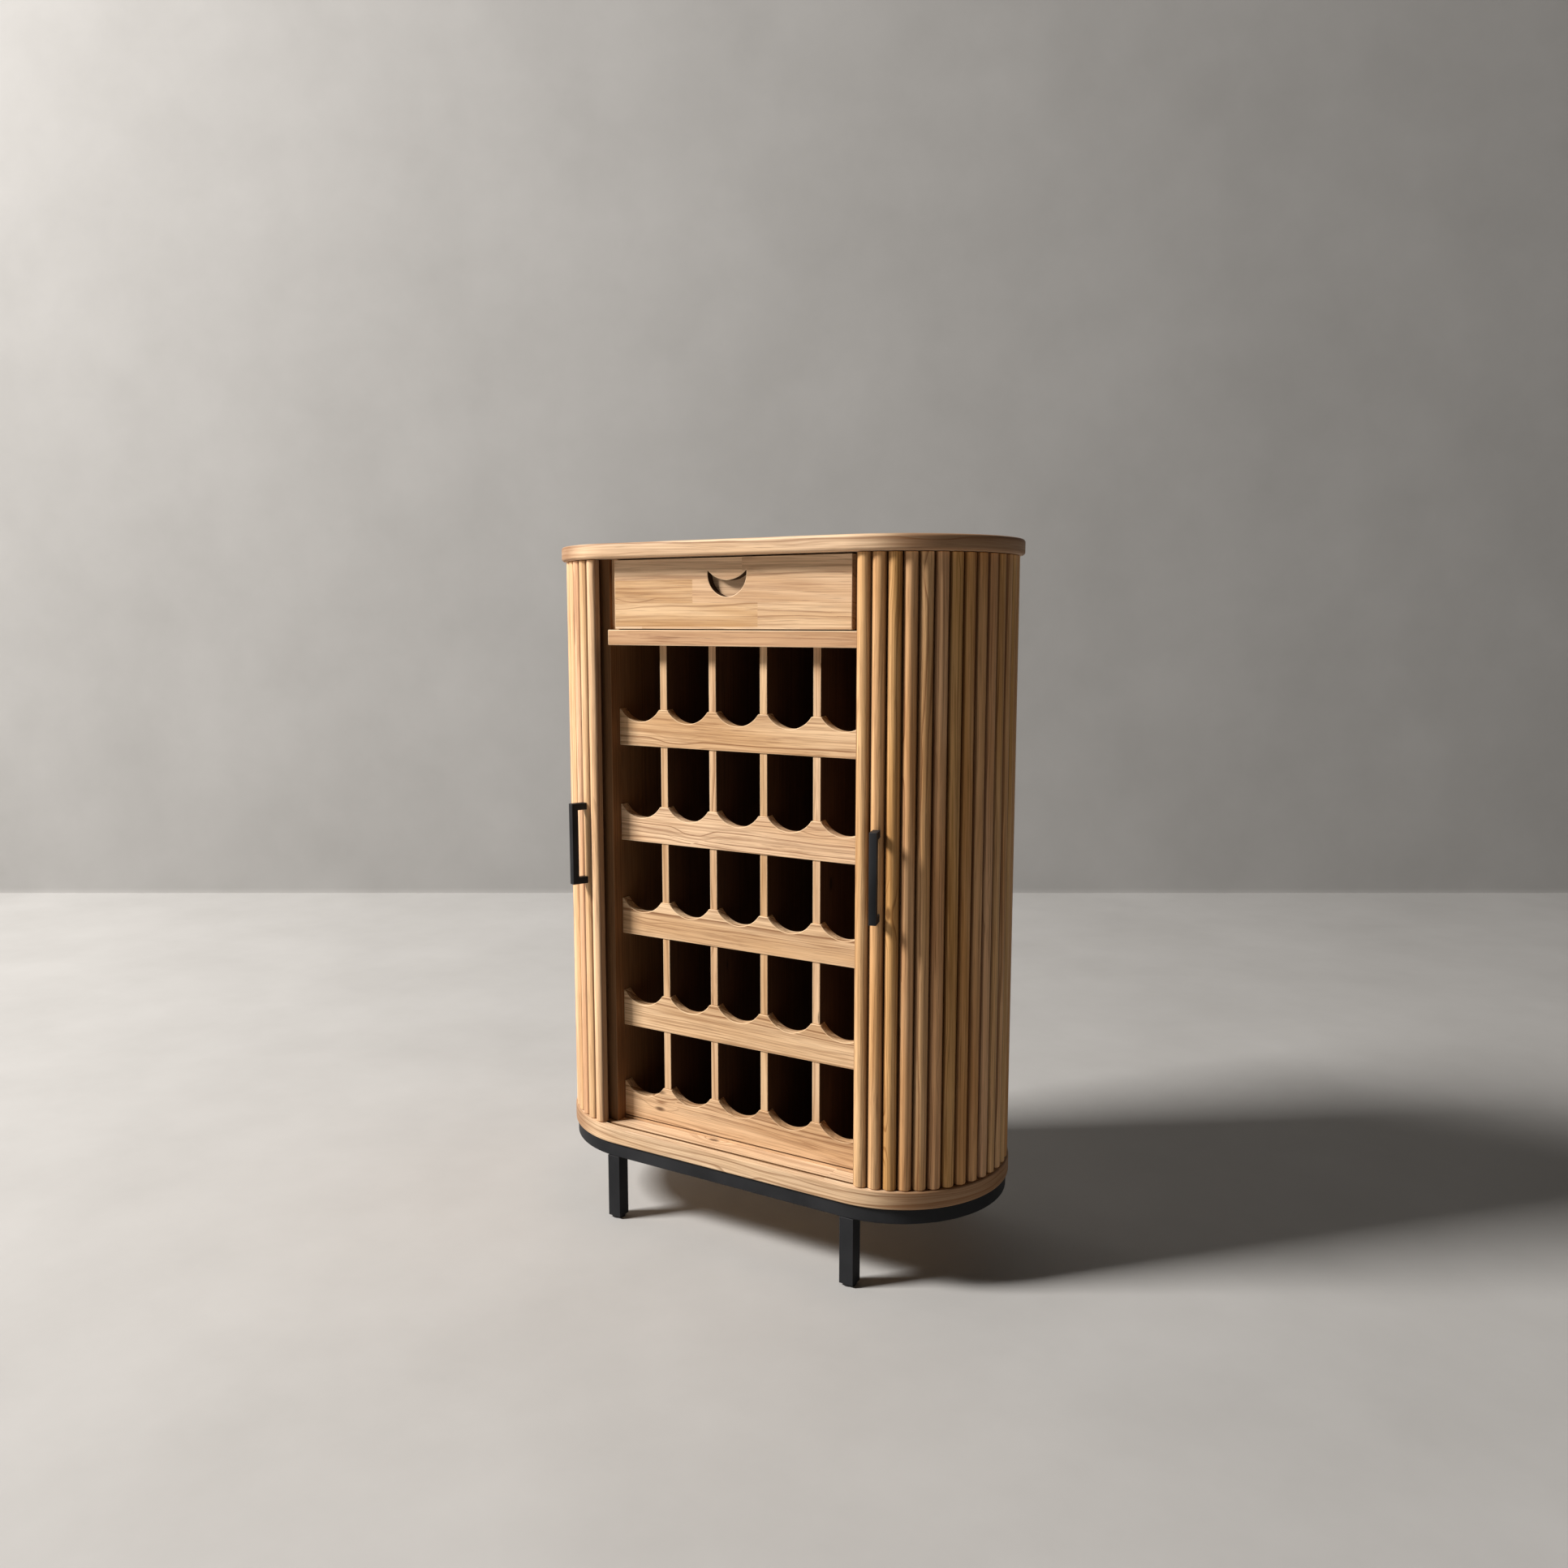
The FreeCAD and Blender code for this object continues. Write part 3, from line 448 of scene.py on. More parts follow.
def make_wood(name, along, oil, rings, contrast, tones, gloss=OILED_GLOSS, staves=UNSPLIT):
    """An oiled wood, in one piece or glued up from staves, with painted shade where the piece marks the gap
    between two slats.

    oil holds its pale, honey and brown colours, rings the width of a growth ring, contrast how dark the
    rings are, tones how much one piece differs from the next, and gloss the roughness of its skin.
    """
    pale, honey, brown = oil
    dark = tuple(part * DARKEN for part in brown)
    material, tree, shader = new_material(name)
    place = add_node(tree, "TexCoord").outputs["Object"]
    axes = add_node(tree, "SeparateXYZ", {"Vector": place}).outputs
    grain = add_node(tree, "CombineXYZ", dict(zip("XYZ", grain_axes(tree, axes, along))))
    gap_shade = add_node(tree, "Attribute", attribute_name="gap_shade").outputs["Fac"]
    seed = add_node(tree, "Attribute", attribute_name="board_seed").outputs["Fac"]
    figure = add_node(tree, "Group", {
        "Vector": grain.outputs["Vector"], "Seed": seed, "Ring Width": rings, "Staves": staves
    }, node_tree=wood_figure).outputs
    colour = mix(tree, figure["Drift"], (*honey, 1), (*pale, 1))
    tints = [
        (figure["Streaks"], contrast * STREAK_TINT, brown),
        (figure["Rings"], contrast, brown),
        (ramp(tree, figure["Fibre"], *FIBRE_ONSET), FIBRE_TINT, brown),
        (figure["Pores"], PORE_TINT, dark),
        (figure["Knots"], KNOT_TINT, dark),
        # painted shade in the gaps between slats, darker the deeper the flank lies
        (gap_shade, GAP_SHADE_TINT, dark),
    ]
    # The rim darkens round the ends, partly as end grain and partly as painted shade.
    if along == "rim":
        tints.append((end_grain_and_shade(tree, axes), END_GRAIN_AND_SHADE_TINT, brown))
    for share, strength, tint in tints:
        colour = mix(tree, maths(tree, "MULTIPLY", share, strength), colour, (*tint, 1))
    spin = maths(tree, "FRACT", maths(tree, "MULTIPLY", seed, TONE_TURN))
    if staves != UNSPLIT:
        spin = maths(tree, "FRACT", maths(tree, "ADD", spin, figure["Stave Tone"]))
    hue_spin = maths(tree, "FRACT", maths(tree, "MULTIPLY", seed, HUE_TURN))
    toned = add_node(tree, "HueSaturation", {
        "Color": colour,
        "Value": spread(tree, spin, *(1 + tones * part for part in TONE_VALUE)),
        "Hue": spread(tree, hue_spin, *(0.5 + tones * part for part in TONE_HUE)),
        "Saturation": spread(tree, spin, *(1 + tones * part for part in TONE_SATURATION)),
    }).outputs["Color"]
    tree.links.new(toned, shader.inputs["Base Color"])
    polish = spread(tree, figure["Fibre"], gloss, gloss + POLISH_LOSS, *POLISH_ONSET)
    tree.links.new(polish, shader.inputs["Roughness"])
    relief = maths(tree, "MULTIPLY", figure["Rings"], RING_RELIEF)
    relief = maths(tree, "SUBTRACT", relief, figure["Pores"])
    relief = maths(tree, "ADD", relief, maths(tree, "MULTIPLY", figure["Fibre"], FIBRE_RELIEF))
    bump = add_node(tree, "Bump", {"Height": relief, "Strength": WOOD_BUMP, "Distance": WOOD_DEPTH})
    tree.links.new(bump.outputs["Normal"], shader.inputs["Normal"])
    shader.inputs["Specular IOR Level"].default_value = WOOD_SHEEN
    return material


print("recipe ready")

# %% [markdown]
# The boards run lengthwise and pale, the slats stand upright and vary from honey to brown, and the inside
# is darker, painted shade. Only the drawer front and the two slabs are glued up from staves that show.

# %% Mix the woods
PALE, HONEY, BROWN = (0.93, 0.66, 0.41), (0.62, 0.37, 0.185), (0.23, 0.095, 0.034)
FRONT_OIL = (PALE, HONEY, BROWN)
BOARD_OIL = (PALE, (0.70, 0.435, 0.23), BROWN)
SHELF_OIL = ((0.66, 0.41, 0.225), (0.47, 0.265, 0.12), BROWN)
RIM_OIL = ((0.93, 0.69, 0.46), (0.80, 0.55, 0.33), BROWN)
SLAB_OIL = ((0.95, 0.72, 0.49), (0.86, 0.61, 0.385), BROWN)
# Painted highlight: the next oil is paler, for the faces of broken edges.
RIM_HIGHLIGHT_OIL = ((0.88, 0.67, 0.43), (0.80, 0.57, 0.34), HONEY)
SLAT_OIL = ((0.96, 0.62, 0.33), (0.79, 0.455, 0.2), (0.19, 0.062, 0.018))
# Painted shade: the next oil is a mid-brown for the side panels and end shells, which stand in shade.
PANEL_SHADE_OIL = ((0.27, 0.14, 0.062), (0.21, 0.105, 0.045), (0.09, 0.04, 0.016))
# Painted shade: the next oil is nearly black, for the inside of the rack and of the cabinet.
INSIDE_SHADE_OIL = ((0.085, 0.038, 0.016), (0.062, 0.027, 0.011), (0.022, 0.009, 0.003))
BOX_OIL = ((0.62, 0.45, 0.28), (0.53, 0.36, 0.21), (0.34, 0.2, 0.1))
FRONT_STAVES, SLAB_STAVES = (0.31, 10.0, 0.0385), (0.62, 0.075, 10.0)
WIDE_RINGS, UPRIGHT_RINGS, CLOSE_RINGS, FINE_RINGS = 8.5 * MM, 8 * MM, 7 * MM, 5 * MM
INNER_GLOSS = 0.55
board_wood = make_wood("board_wood", "X", BOARD_OIL, WIDE_RINGS, contrast=0.85, tones=0.08)
shelf_wood = make_wood("shelf_wood", "X", SHELF_OIL, WIDE_RINGS, contrast=0.85, tones=0.08)
front_wood = make_wood("front_wood", "X", FRONT_OIL, WIDE_RINGS, contrast=0.6, tones=0.14,
                       staves=FRONT_STAVES)
rim_wood = make_wood("rim_wood", "rim", RIM_OIL, WIDE_RINGS, contrast=0.65, tones=0.08)
slab_wood = make_wood("slab_wood", "X", SLAB_OIL, WIDE_RINGS, contrast=0.65, tones=0.08,
                      staves=SLAB_STAVES)
upright_wood = make_wood("upright_wood", "Z", FRONT_OIL, UPRIGHT_RINGS, contrast=0.7, tones=0.1, gloss=0.48)
sanded_rim = make_wood("sanded_rim", "X", RIM_HIGHLIGHT_OIL, WIDE_RINGS, contrast=0.4, tones=0.05, gloss=0.42)
slat_wood = make_wood("slat_wood", "Z", SLAT_OIL, CLOSE_RINGS, contrast=0.65, tones=0.26, gloss=0.44)
panel_shade_wood = make_wood("panel_shade_wood", "Z", PANEL_SHADE_OIL, CLOSE_RINGS, contrast=0.5, tones=0.1,
                       gloss=INNER_GLOSS)
inner_wood = make_wood("inner_wood", "Z", INSIDE_SHADE_OIL, CLOSE_RINGS, contrast=0.5, tones=0.1, gloss=INNER_GLOSS)
rack_shade_wood = make_wood("rack_shade_wood", "X", INSIDE_SHADE_OIL, CLOSE_RINGS, contrast=0.5, tones=0.1, gloss=INNER_GLOSS)
track_wax = make_wood("track_wax", "X", PANEL_SHADE_OIL, CLOSE_RINGS, contrast=0.5, tones=0.1, gloss=0.4)
box_wood = make_wood("box_wood", "Y", BOX_OIL, FINE_RINGS, contrast=0.4, tones=0.05, gloss=0.6)
print("woods:", [made.name for made in bpy.data.materials if "wood" in made.name])

# %% [markdown]
# ## Black steel, plastic and zinc
# The frame and the handles are powder coated: black with a very fine orange-peel skin that catches a broad
# grey sheen, and a little greyer along the broken edges, a painted highlight. The glides are moulded
# plastic and the screws are zinc plated. A plain black would do from afar; slow patches of shade and a skin
# of specks keep it from looking like a hole.

# %% Mix the steel, plastic and zinc
PATCH_SCALE, PATCH_ONSET, PATCH_LIGHTER = 9.0, (0.3, 0.75), 1.7
GLOSS_BELOW, GLOSS_ABOVE = 0.06, 0.1
COAT_SHEEN, COAT_BUMP = 0.06, 0.25


def make_coated(name, colour, gloss, speck, relief, metal=0.0):
    """A hard finish with slow patches of shade and a fine skin of specks, relief deep."""
    material, tree, shader = new_material(name)
    place = add_node(tree, "TexCoord").outputs["Object"]
    clouds = {"Vector": place, "Scale": PATCH_SCALE, "Detail": 4.0}
    specks = {"Vector": place, "Scale": speck, "Detail": 2.0}
    patch = add_node(tree, "TexNoise", clouds).outputs["Fac"]
    skin = add_node(tree, "TexNoise", specks).outputs["Fac"]
    lighter = tuple(part * PATCH_LIGHTER for part in colour)
    base = mix(tree, ramp(tree, patch, *PATCH_ONSET), (*colour, 1), (*lighter, 1))
    tree.links.new(base, shader.inputs["Base Color"])
    polish = spread(tree, patch, gloss - GLOSS_BELOW, gloss + GLOSS_ABOVE)
    tree.links.new(polish, shader.inputs["Roughness"])
    shader.inputs["Metallic"].default_value = metal
    shader.inputs["Specular IOR Level"].default_value = COAT_SHEEN
    bump = add_node(tree, "Bump", {"Height": skin, "Strength": COAT_BUMP, "Distance": relief})
    tree.links.new(bump.outputs["Normal"], shader.inputs["Normal"])
    return material


# The second colour, a greyer black, is a painted highlight for the faces of broken edges.
BLACK, EDGE_HIGHLIGHT_GREY, PLASTIC = (0.019, 0.0195, 0.021), (0.036, 0.036, 0.038), (0.02, 0.02, 0.02)
ZINC = (0.42, 0.42, 0.44)
black_steel = make_coated("black_steel", BLACK, gloss=0.5, speck=900.0, relief=0.3 * MM)
steel_edge_highlight = make_coated("steel_edge_highlight", EDGE_HIGHLIGHT_GREY, gloss=0.42, speck=900.0, relief=0.2 * MM)
black_plastic = make_coated("black_plastic", PLASTIC, gloss=0.6, speck=500.0, relief=0.3 * MM)
zinc = make_coated("zinc_screw", ZINC, gloss=0.36, speck=700.0, relief=0.2 * MM, metal=1.0)
print("hard finishes:", [m.name for m in (black_steel, steel_edge_highlight, black_plastic, zinc)])

# %% [markdown]
# ## Canvas
# The doors' backing is a plain weave of two crossed sets of threads. They are far too fine to model, so two
# waves, one round the end and one up it, draw the threads and their relief.

# %% Weave the canvas
WEAVE_RADIUS, THREAD_PITCH, THREAD_RELIEF = 176.5 * MM, 1.6 * MM, 0.4 * MM
DUST_SCALE, DUST_ONSET = 18.0, (0.35, 0.8)
CLOTH_ROUGHNESS, CLOTH_BUMP = 0.9, 0.5
CLOTH_DARK, CLOTH_PALE, CLOTH_DUST = (0.17, 0.13, 0.085, 1), (0.36, 0.29, 0.2, 1), (0.27, 0.22, 0.16, 1)
canvas, tree, shader = new_material("canvas")
place = add_node(tree, "TexCoord").outputs["Object"]
axes = add_node(tree, "SeparateXYZ", {"Vector": place}).outputs
angle = maths(tree, "ARCTAN2", axes["Y"], past_end(tree, axes))
around = maths(tree, "MULTIPLY", angle, WEAVE_RADIUS)
thread_turn = 2 * math.pi / THREAD_PITCH
weft = maths(tree, "SINE", maths(tree, "MULTIPLY", around, thread_turn))
warp = maths(tree, "SINE", maths(tree, "MULTIPLY", axes["Z"], thread_turn))
weave = ramp(tree, maths(tree, "MULTIPLY", weft, warp), -1.0, 1.0)
dusty = add_node(tree, "TexNoise", {"Vector": place, "Scale": DUST_SCALE, "Detail": 4.0}).outputs["Fac"]
cloth = mix(tree, weave, CLOTH_DARK, CLOTH_PALE)
cloth = mix(tree, ramp(tree, dusty, *DUST_ONSET), cloth, CLOTH_DUST)
tree.links.new(cloth, shader.inputs["Base Color"])
shader.inputs["Roughness"].default_value = CLOTH_ROUGHNESS
bump = add_node(tree, "Bump", {"Height": weave, "Strength": CLOTH_BUMP, "Distance": THREAD_RELIEF})
tree.links.new(bump.outputs["Normal"], shader.inputs["Normal"])
print("soft finish:", canvas.name)

# %% [markdown]
# ## Working habits
# A few small helpers keep the later cells short. One opens a piece for editing; three give it a modifier,
# its seed and its finishes, and one gives some of its faces another finish.


# %% Define the helpers for one piece
def apply_modifier(piece, kind, **settings):
    """Add a modifier, set it and make its result the mesh."""
    pick_only(piece)
    bpy.ops.object.modifier_add(type=kind)
    modifier = piece.modifiers[-1]
    for name, value in settings.items():
        setattr(modifier, name, value)
    bpy.ops.object.modifier_apply(modifier=modifier.name)


def edit_all(piece):
    """Enter edit mode on one piece with all of it selected."""
    pick_only(piece)
    bpy.ops.object.mode_set(mode="EDIT")
    bpy.ops.mesh.select_all(action="SELECT")


def set_seed(piece, seed):
    """Store the piece's own seed on every point, for the wood figure to read."""
    pick_only(piece)
    bpy.ops.geometry.attribute_add(name="board_seed", domain="POINT", data_type="FLOAT")
    edit_all(piece)
    bpy.ops.mesh.attribute_set(value_float=seed)
    bpy.ops.object.mode_set(mode="OBJECT")


def set_finishes(piece, *finishes):
    """Give the piece its finishes; the first covers it until faces are given another."""
    piece.data.materials.clear()
    for finish in finishes:
        piece.data.materials.append(finish)


def give_finish(piece, finish, wanted):
    """Give the faces for which wanted(corner points) holds another finish."""
    if finish.name not in piece.data.materials:
        piece.data.materials.append(finish)
    select_part(piece, "FACE", wanted)
    piece.active_material_index = piece.data.materials.find(finish.name)
    bpy.ops.object.material_slot_assign()
    bpy.ops.object.mode_set(mode="OBJECT")


print("helpers ready for one piece")

# %% [markdown]
# A finished piece has its faces outwards, and shading that is smooth round bends and leaves flat faces
# flat. It then stands for its solid. The plain parts could be modelled anew, but their solids already have
# the measured shape, so each is a merged copy with its edges broken.

# %% Define the helpers that finish a piece
seeds = random.Random(11)
WIDE_FACE, SQUARE_ON = 2e-4, 0.9999
MERGE_GAP, SLIVER = 0.02 * MM, 0.002 * MM
FLAT_BEND, SHARP_BEND = math.radians(0.5), math.radians(50)


def finish_piece(piece, smooth=35, flat_planes=False):
    """Outward faces, and shading that is smooth only over gentle bends."""
    edit_all(piece)
    bpy.ops.mesh.normals_make_consistent(inside=False)
    bpy.ops.object.mode_set(mode="OBJECT")
    bpy.ops.object.shade_smooth_by_angle(angle=math.radians(smooth))
    if flat_planes:
        for face in piece.data.polygons:
            face.use_smooth = face.area <= WIDE_FACE or max(map(abs, face.normal)) <= SQUARE_ON
    else:
        apply_modifier(piece, "WEIGHTED_NORMAL", keep_sharp=True)
    return piece


def stand_for(piece, *nodes):
    """Let the piece take the place of solids: same body, and the solids hidden."""
    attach(piece, frame["nodes"][nodes[0]]["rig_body"])
    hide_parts(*nodes)


def softened(node, finish, bevel, segments=2, rim=None):
    """A merged copy of a solid with its sharp edges broken by bevel millimetres, as by sandpaper."""
    piece = bpy.data.objects.new(node + "_piece", frame["nodes"][node].data.copy())
    bpy.context.scene.collection.objects.link(piece)
    set_finishes(piece, finish, rim or finish)
    pick_only(piece)
    bpy.ops.mesh.customdata_custom_splitnormals_clear()
    edit_all(piece)
    bpy.ops.mesh.remove_doubles(threshold=MERGE_GAP)
    bpy.ops.mesh.dissolve_limited(angle_limit=FLAT_BEND)
    bpy.ops.object.mode_set(mode="OBJECT")
    apply_modifier(piece, "BEVEL", width=bevel * MM, segments=segments, limit_method="ANGLE",
                   angle_limit=SHARP_BEND, material=1)
    edit_all(piece)
    bpy.ops.mesh.dissolve_degenerate(threshold=SLIVER)
    bpy.ops.object.mode_set(mode="OBJECT")
    set_seed(piece, seeds.random())
    finish_piece(piece, flat_planes=True)
    stand_for(piece, node)
    return piece


print("helpers ready that finish a piece")

# %% [markdown]
# ## Top and base boards
# Both boards are round-ended slabs. A curve could be extruded for them, but a cylinder whose two halves are
# moved apart gives the same plan with clean quads round the ends. The steel ring will start the same way.

# %% Write the helpers for round-ended pieces
END_STEPS = 192
TOUCH, RING_SLACK = 0.001 * MM, 0.4 * MM


def stadium(name, radius, low, high):
    """A round-ended block between two heights."""
    bpy.ops.object.select_all(action="DESELECT")
    bpy.ops.mesh.primitive_cylinder_add(
        vertices=END_STEPS, radius=radius, depth=high - low, location=(0, 0, (low + high) / 2),
        rotation=(0, 0, math.pi / END_STEPS),
    )
    piece = bpy.context.object
    piece.name = name
    bpy.ops.object.transform_apply(location=True, rotation=True, scale=True)
    for side in (-1, 1):
        select_part(piece, "VERT", lambda corners: corners[0].x * side > 0)
        bpy.ops.transform.translate(value=(side * END_X, 0, 0))
    bpy.ops.object.mode_set(mode="OBJECT")
    return piece


def level(corners, height):
    """Whether all corners lie at one height."""
    return all(abs(corner.z - height) < TOUCH for corner in corners)


def on_ring(corners, inner, outer):
    """Whether all corners lie between two round-ended outlines, given by the radius of their ends."""
    for corner in corners:
        out = math.hypot(max(0, abs(corner.x) - END_X), corner.y)
        if not inner - RING_SLACK < out < outer + RING_SLACK:
            return False
    return True


print("a rounded end has", END_STEPS // 2, "steps")

# %% [markdown]
# The rims are bevelled: the top board has a generous round-over, the base a small one. The doors' track
# could be cut out with a second block, but two insets of one face, pushed in, leave cleaner edges. The
# track's walls and floor get a dark wood, painted shade for its depth.

# %% Shape the boards
ROUNDING = {"top_board": 5 * MM, "base_board": 3 * MM}
TRACK_DEPTH, TRACK_OUTER, TRACK_INNER = 8 * MM, 181.94 * MM, 176.4 * MM


def make_board(node, track_top):
    """A board with rounded rims and the track sunk in its upper or lower face."""
    low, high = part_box(node)
    radius, rounding = high.y, ROUNDING[node]
    piece = stadium(node + "_piece", radius, low.z, high.z)
    set_finishes(piece, slab_wood)
    face_height = high.z if track_top else low.z
    select_part(piece, "EDGE", lambda c: level(c, low.z) or level(c, high.z))
    bpy.ops.mesh.bevel(offset=rounding, segments=6, profile=0.5, affect="EDGES")
    select_part(piece, "FACE", lambda c: level(c, face_height))
    bpy.ops.mesh.inset(thickness=radius - rounding - TRACK_OUTER)
    bpy.ops.mesh.inset(thickness=TRACK_OUTER - TRACK_INNER)
    select_part(piece, "FACE", lambda c: level(c, face_height) and on_ring(c, TRACK_INNER, TRACK_OUTER)
                and not on_ring(c, TRACK_INNER, TRACK_INNER))
    push = -TRACK_DEPTH if track_top else TRACK_DEPTH
    bpy.ops.mesh.extrude_region_move(TRANSFORM_OT_translate={"value": (0, 0, push)})
    # The track's walls and floor get a dark wood: painted shade for its depth.
    give_finish(piece, track_wax,
                lambda c: on_ring(c, TRACK_INNER, TRACK_OUTER) and not level(c, face_height))
    give_finish(piece, rim_wood, lambda c: on_ring(c, radius - rounding, radius) and not level(c, c[0].z))
    set_seed(piece, seeds.random())
    finish_piece(piece)
    stand_for(piece, node)
    shade_slot = piece.data.materials.find(track_wax.name)
    shaded_faces = sum(face.material_index == shade_slot for face in piece.data.polygons)
    print(node, "has", len(piece.data.polygons), "faces,", shaded_faces, "of them in the track")


make_board("top_board", track_top=False)
make_board("base_board", track_top=True)

# %% [markdown]
# ## The slats
# A slat is a half-round stick. It starts as a cylinder, which a plane cuts behind the crown; the cut face
# is drawn back to the slat's flat back, and the ends are rounded over a little, as they are on the doors.
# Its flanks are marked for painted shade, the shadow in the gap between two slats, darker the deeper it
# lies. It is modelled once, stood at the origin, and a copy is turned to each slat's place round the end.

# %% Model one slat
SLAT_WIDTH, SLAT_THICK, SLAT_CROWN = 22.2 * MM, 15 * MM, 7 * MM
SLAT_LOW, SLAT_HIGH = 173 * MM, 1174 * MM
SLAT_STEPS, SLAT_END_ROUND = 72, 1.6 * MM
GAP_SHADE_DEPTHS = ((8.4 * MM, 0.2), (9.2 * MM, 0.6), (9.9 * MM, 1.0))
half = SLAT_WIDTH / 2
crown_radius = (half ** 2 + SLAT_CROWN ** 2) / (2 * SLAT_CROWN)
cut_line = SLAT_CROWN - SLAT_THICK


def on_cut(corners):
    """Whether all corners lie on the plane behind the crown."""
    return all(abs(corner.y - cut_line) < TOUCH for corner in corners)


bpy.ops.object.select_all(action="DESELECT")
bpy.ops.mesh.primitive_cylinder_add(
    vertices=SLAT_STEPS, radius=crown_radius, depth=SLAT_HIGH - SLAT_LOW,
    location=(0, crown_radius - SLAT_THICK, (SLAT_LOW + SLAT_HIGH) / 2),
)
model_slat = bpy.context.object
model_slat.name = "model_slat"
bpy.ops.object.transform_apply(location=True, rotation=True, scale=True)
edit_all(model_slat)
bpy.ops.mesh.bisect(plane_co=(0, cut_line, 0), plane_no=(0, 1, 0), use_fill=True, clear_outer=True)
select_part(model_slat, "FACE", on_cut)
bpy.ops.mesh.extrude_region_move(TRANSFORM_OT_translate={"value": (0, -cut_line, 0)})
select_part(model_slat, "EDGE", lambda c: (level(c, SLAT_LOW) or level(c, SLAT_HIGH))
            and all(p.y < -TOUCH for p in c) and not on_cut(c))
bpy.ops.mesh.bevel(offset=SLAT_END_ROUND, segments=4, profile=0.5, affect="EDGES")
# The flanks are marked for painted shade in the gap between slats, darker towards the edge.
bpy.ops.geometry.attribute_add(name="gap_shade", domain="POINT", data_type="FLOAT")
for start, wax in GAP_SHADE_DEPTHS:
    select_part(model_slat, "VERT", lambda c: abs(c[0].x) > start)
    bpy.ops.mesh.attribute_set(value_float=wax)
bpy.ops.object.mode_set(mode="OBJECT")
print("one slat has", len(model_slat.data.polygons), "faces and is",
      [round(side / MM, 1) for side in model_slat.dimensions], "mm")

# %% [markdown]
# The copies follow the canvas line round the end, one pitch apart; the left door stands a little further
# open than the right one. The left door's slats get the paler tones, painted light for the lit end, and the
# right door's the darker, more saturated ones, painted shade for the end in shade. An array along a curve
# could place them, but each slat needs a mesh and a seed of its own, so its place is worked out here.

# %% Find the slats' places
BACK_RADIUS, SLAT_PITCH = 177 * MM, 23 * MM
LEAD_START = {-1: 31 * MM, 1: 16 * MM}
LEADING, SLATS = 10, 21


def canvas_angle(side, pitches):
    """How far round the end a point of the open door lies, counted in slats from its first edge."""
    return (LEAD_START[side] + pitches * SLAT_PITCH) / BACK_RADIUS


def slat_place(side, index):
    """Where a slat of the open door stands."""
    angle = canvas_angle(side, index + 0.5)
    spot = (side * (END_X + BACK_RADIUS * math.sin(angle)), -BACK_RADIUS * math.cos(angle), 0)
    return Matrix.Translation(spot) @ Matrix.Rotation(side * angle, 4, "Z")


def slat_seed(side):
    """A seed from the paler tones for the left door, as painted light; from the darker, more saturated for
    the right, as painted shade.
    """
    seed = seeds.random()
    while (seed * TONE_TURN % 1 > 0.5) != (side < 0):
        seed = seeds.random()
    return seed


def copy_slat(source, name, side, index):
    """A copy of the model slat with its own mesh, seed and place."""
    slat = source.copy()
    slat.data = source.data.copy()
    slat.name = name
    bpy.context.scene.collection.objects.link(slat)
    slat.data.transform(slat_place(side, index))
    set_finishes(slat, slat_wood)
    set_seed(slat, slat_seed(side))
    return slat


print("an open door covers", round(math.degrees(SLATS * SLAT_PITCH / BACK_RADIUS)), "degrees of its end")

# %% [markdown]
# The first ten slats of each door are separate pieces, because each leaves the curve at its own moment when
# the door shuts. The others stay on the curve, so they are joined into one piece. Each of these is first
# made one with the tongue that runs in the track at its two ends.

# %% Stand the slats round the ends
TONGUE_WIDTH, TONGUE_THICK, TONGUE_LENGTH = SLAT_WIDTH - 1 * MM, 4 * MM, 8 * MM
TONGUE_BEVEL = 0.8 * MM
SLAT_BEND = 40
SIDES = (("left", -1), ("right", 1))
bpy.ops.object.select_all(action="DESELECT")
bpy.ops.mesh.primitive_cube_add(size=1, location=(0, -TONGUE_THICK / 2, (SLAT_LOW + SLAT_HIGH) / 2))
tongue = bpy.context.object
tongue.name = "model_tongue"
tongue.scale = (TONGUE_WIDTH, TONGUE_THICK, SLAT_HIGH - SLAT_LOW + 2 * TONGUE_LENGTH)
bpy.ops.object.transform_apply(location=True, rotation=True, scale=True)
apply_modifier(tongue, "BEVEL", width=TONGUE_BEVEL, segments=2)
for side_name, side in SIDES:
    for index in range(LEADING):
        node = f"{side_name}_slat_{index + 1:02d}"
        slat = copy_slat(model_slat, node + "_piece", side, index)
        finish_piece(slat, smooth=SLAT_BEND)
        stand_for(slat, node)
    stay = []
    for index in range(LEADING, SLATS):
        slat = copy_slat(model_slat, f"{side_name}_end_slat_{index}", side, index)
        ends = copy_slat(tongue, f"{side_name}_end_tongue_{index}", side, index)
        apply_modifier(slat, "BOOLEAN", operation="UNION", solver="EXACT", object=ends)
        bpy.data.objects.remove(ends)
        stay.append(finish_piece(slat, smooth=SLAT_BEND))
    bpy.ops.object.select_all(action="DESELECT")
    for slat in stay:
        slat.select_set(True)
    bpy.context.view_layer.objects.active = stay[0]
    bpy.ops.object.join()
    stay[0].name = f"{side_name}_end_slats_piece"
    stand_for(stay[0], f"{side_name}_end_slats")
for model in (model_slat, tongue):
    bpy.data.objects.remove(model)
print("slats:", 2 * LEADING, "that lead and", 2 * (SLATS - LEADING), "that stay on the ends")

# %% [markdown]
# ## The doors' canvas
# Behind the slats a strip of canvas holds them together. A single upright line of points, spun round the
# end's centre, sweeps out the strip; a thin wall then gives it the cloth's thickness.

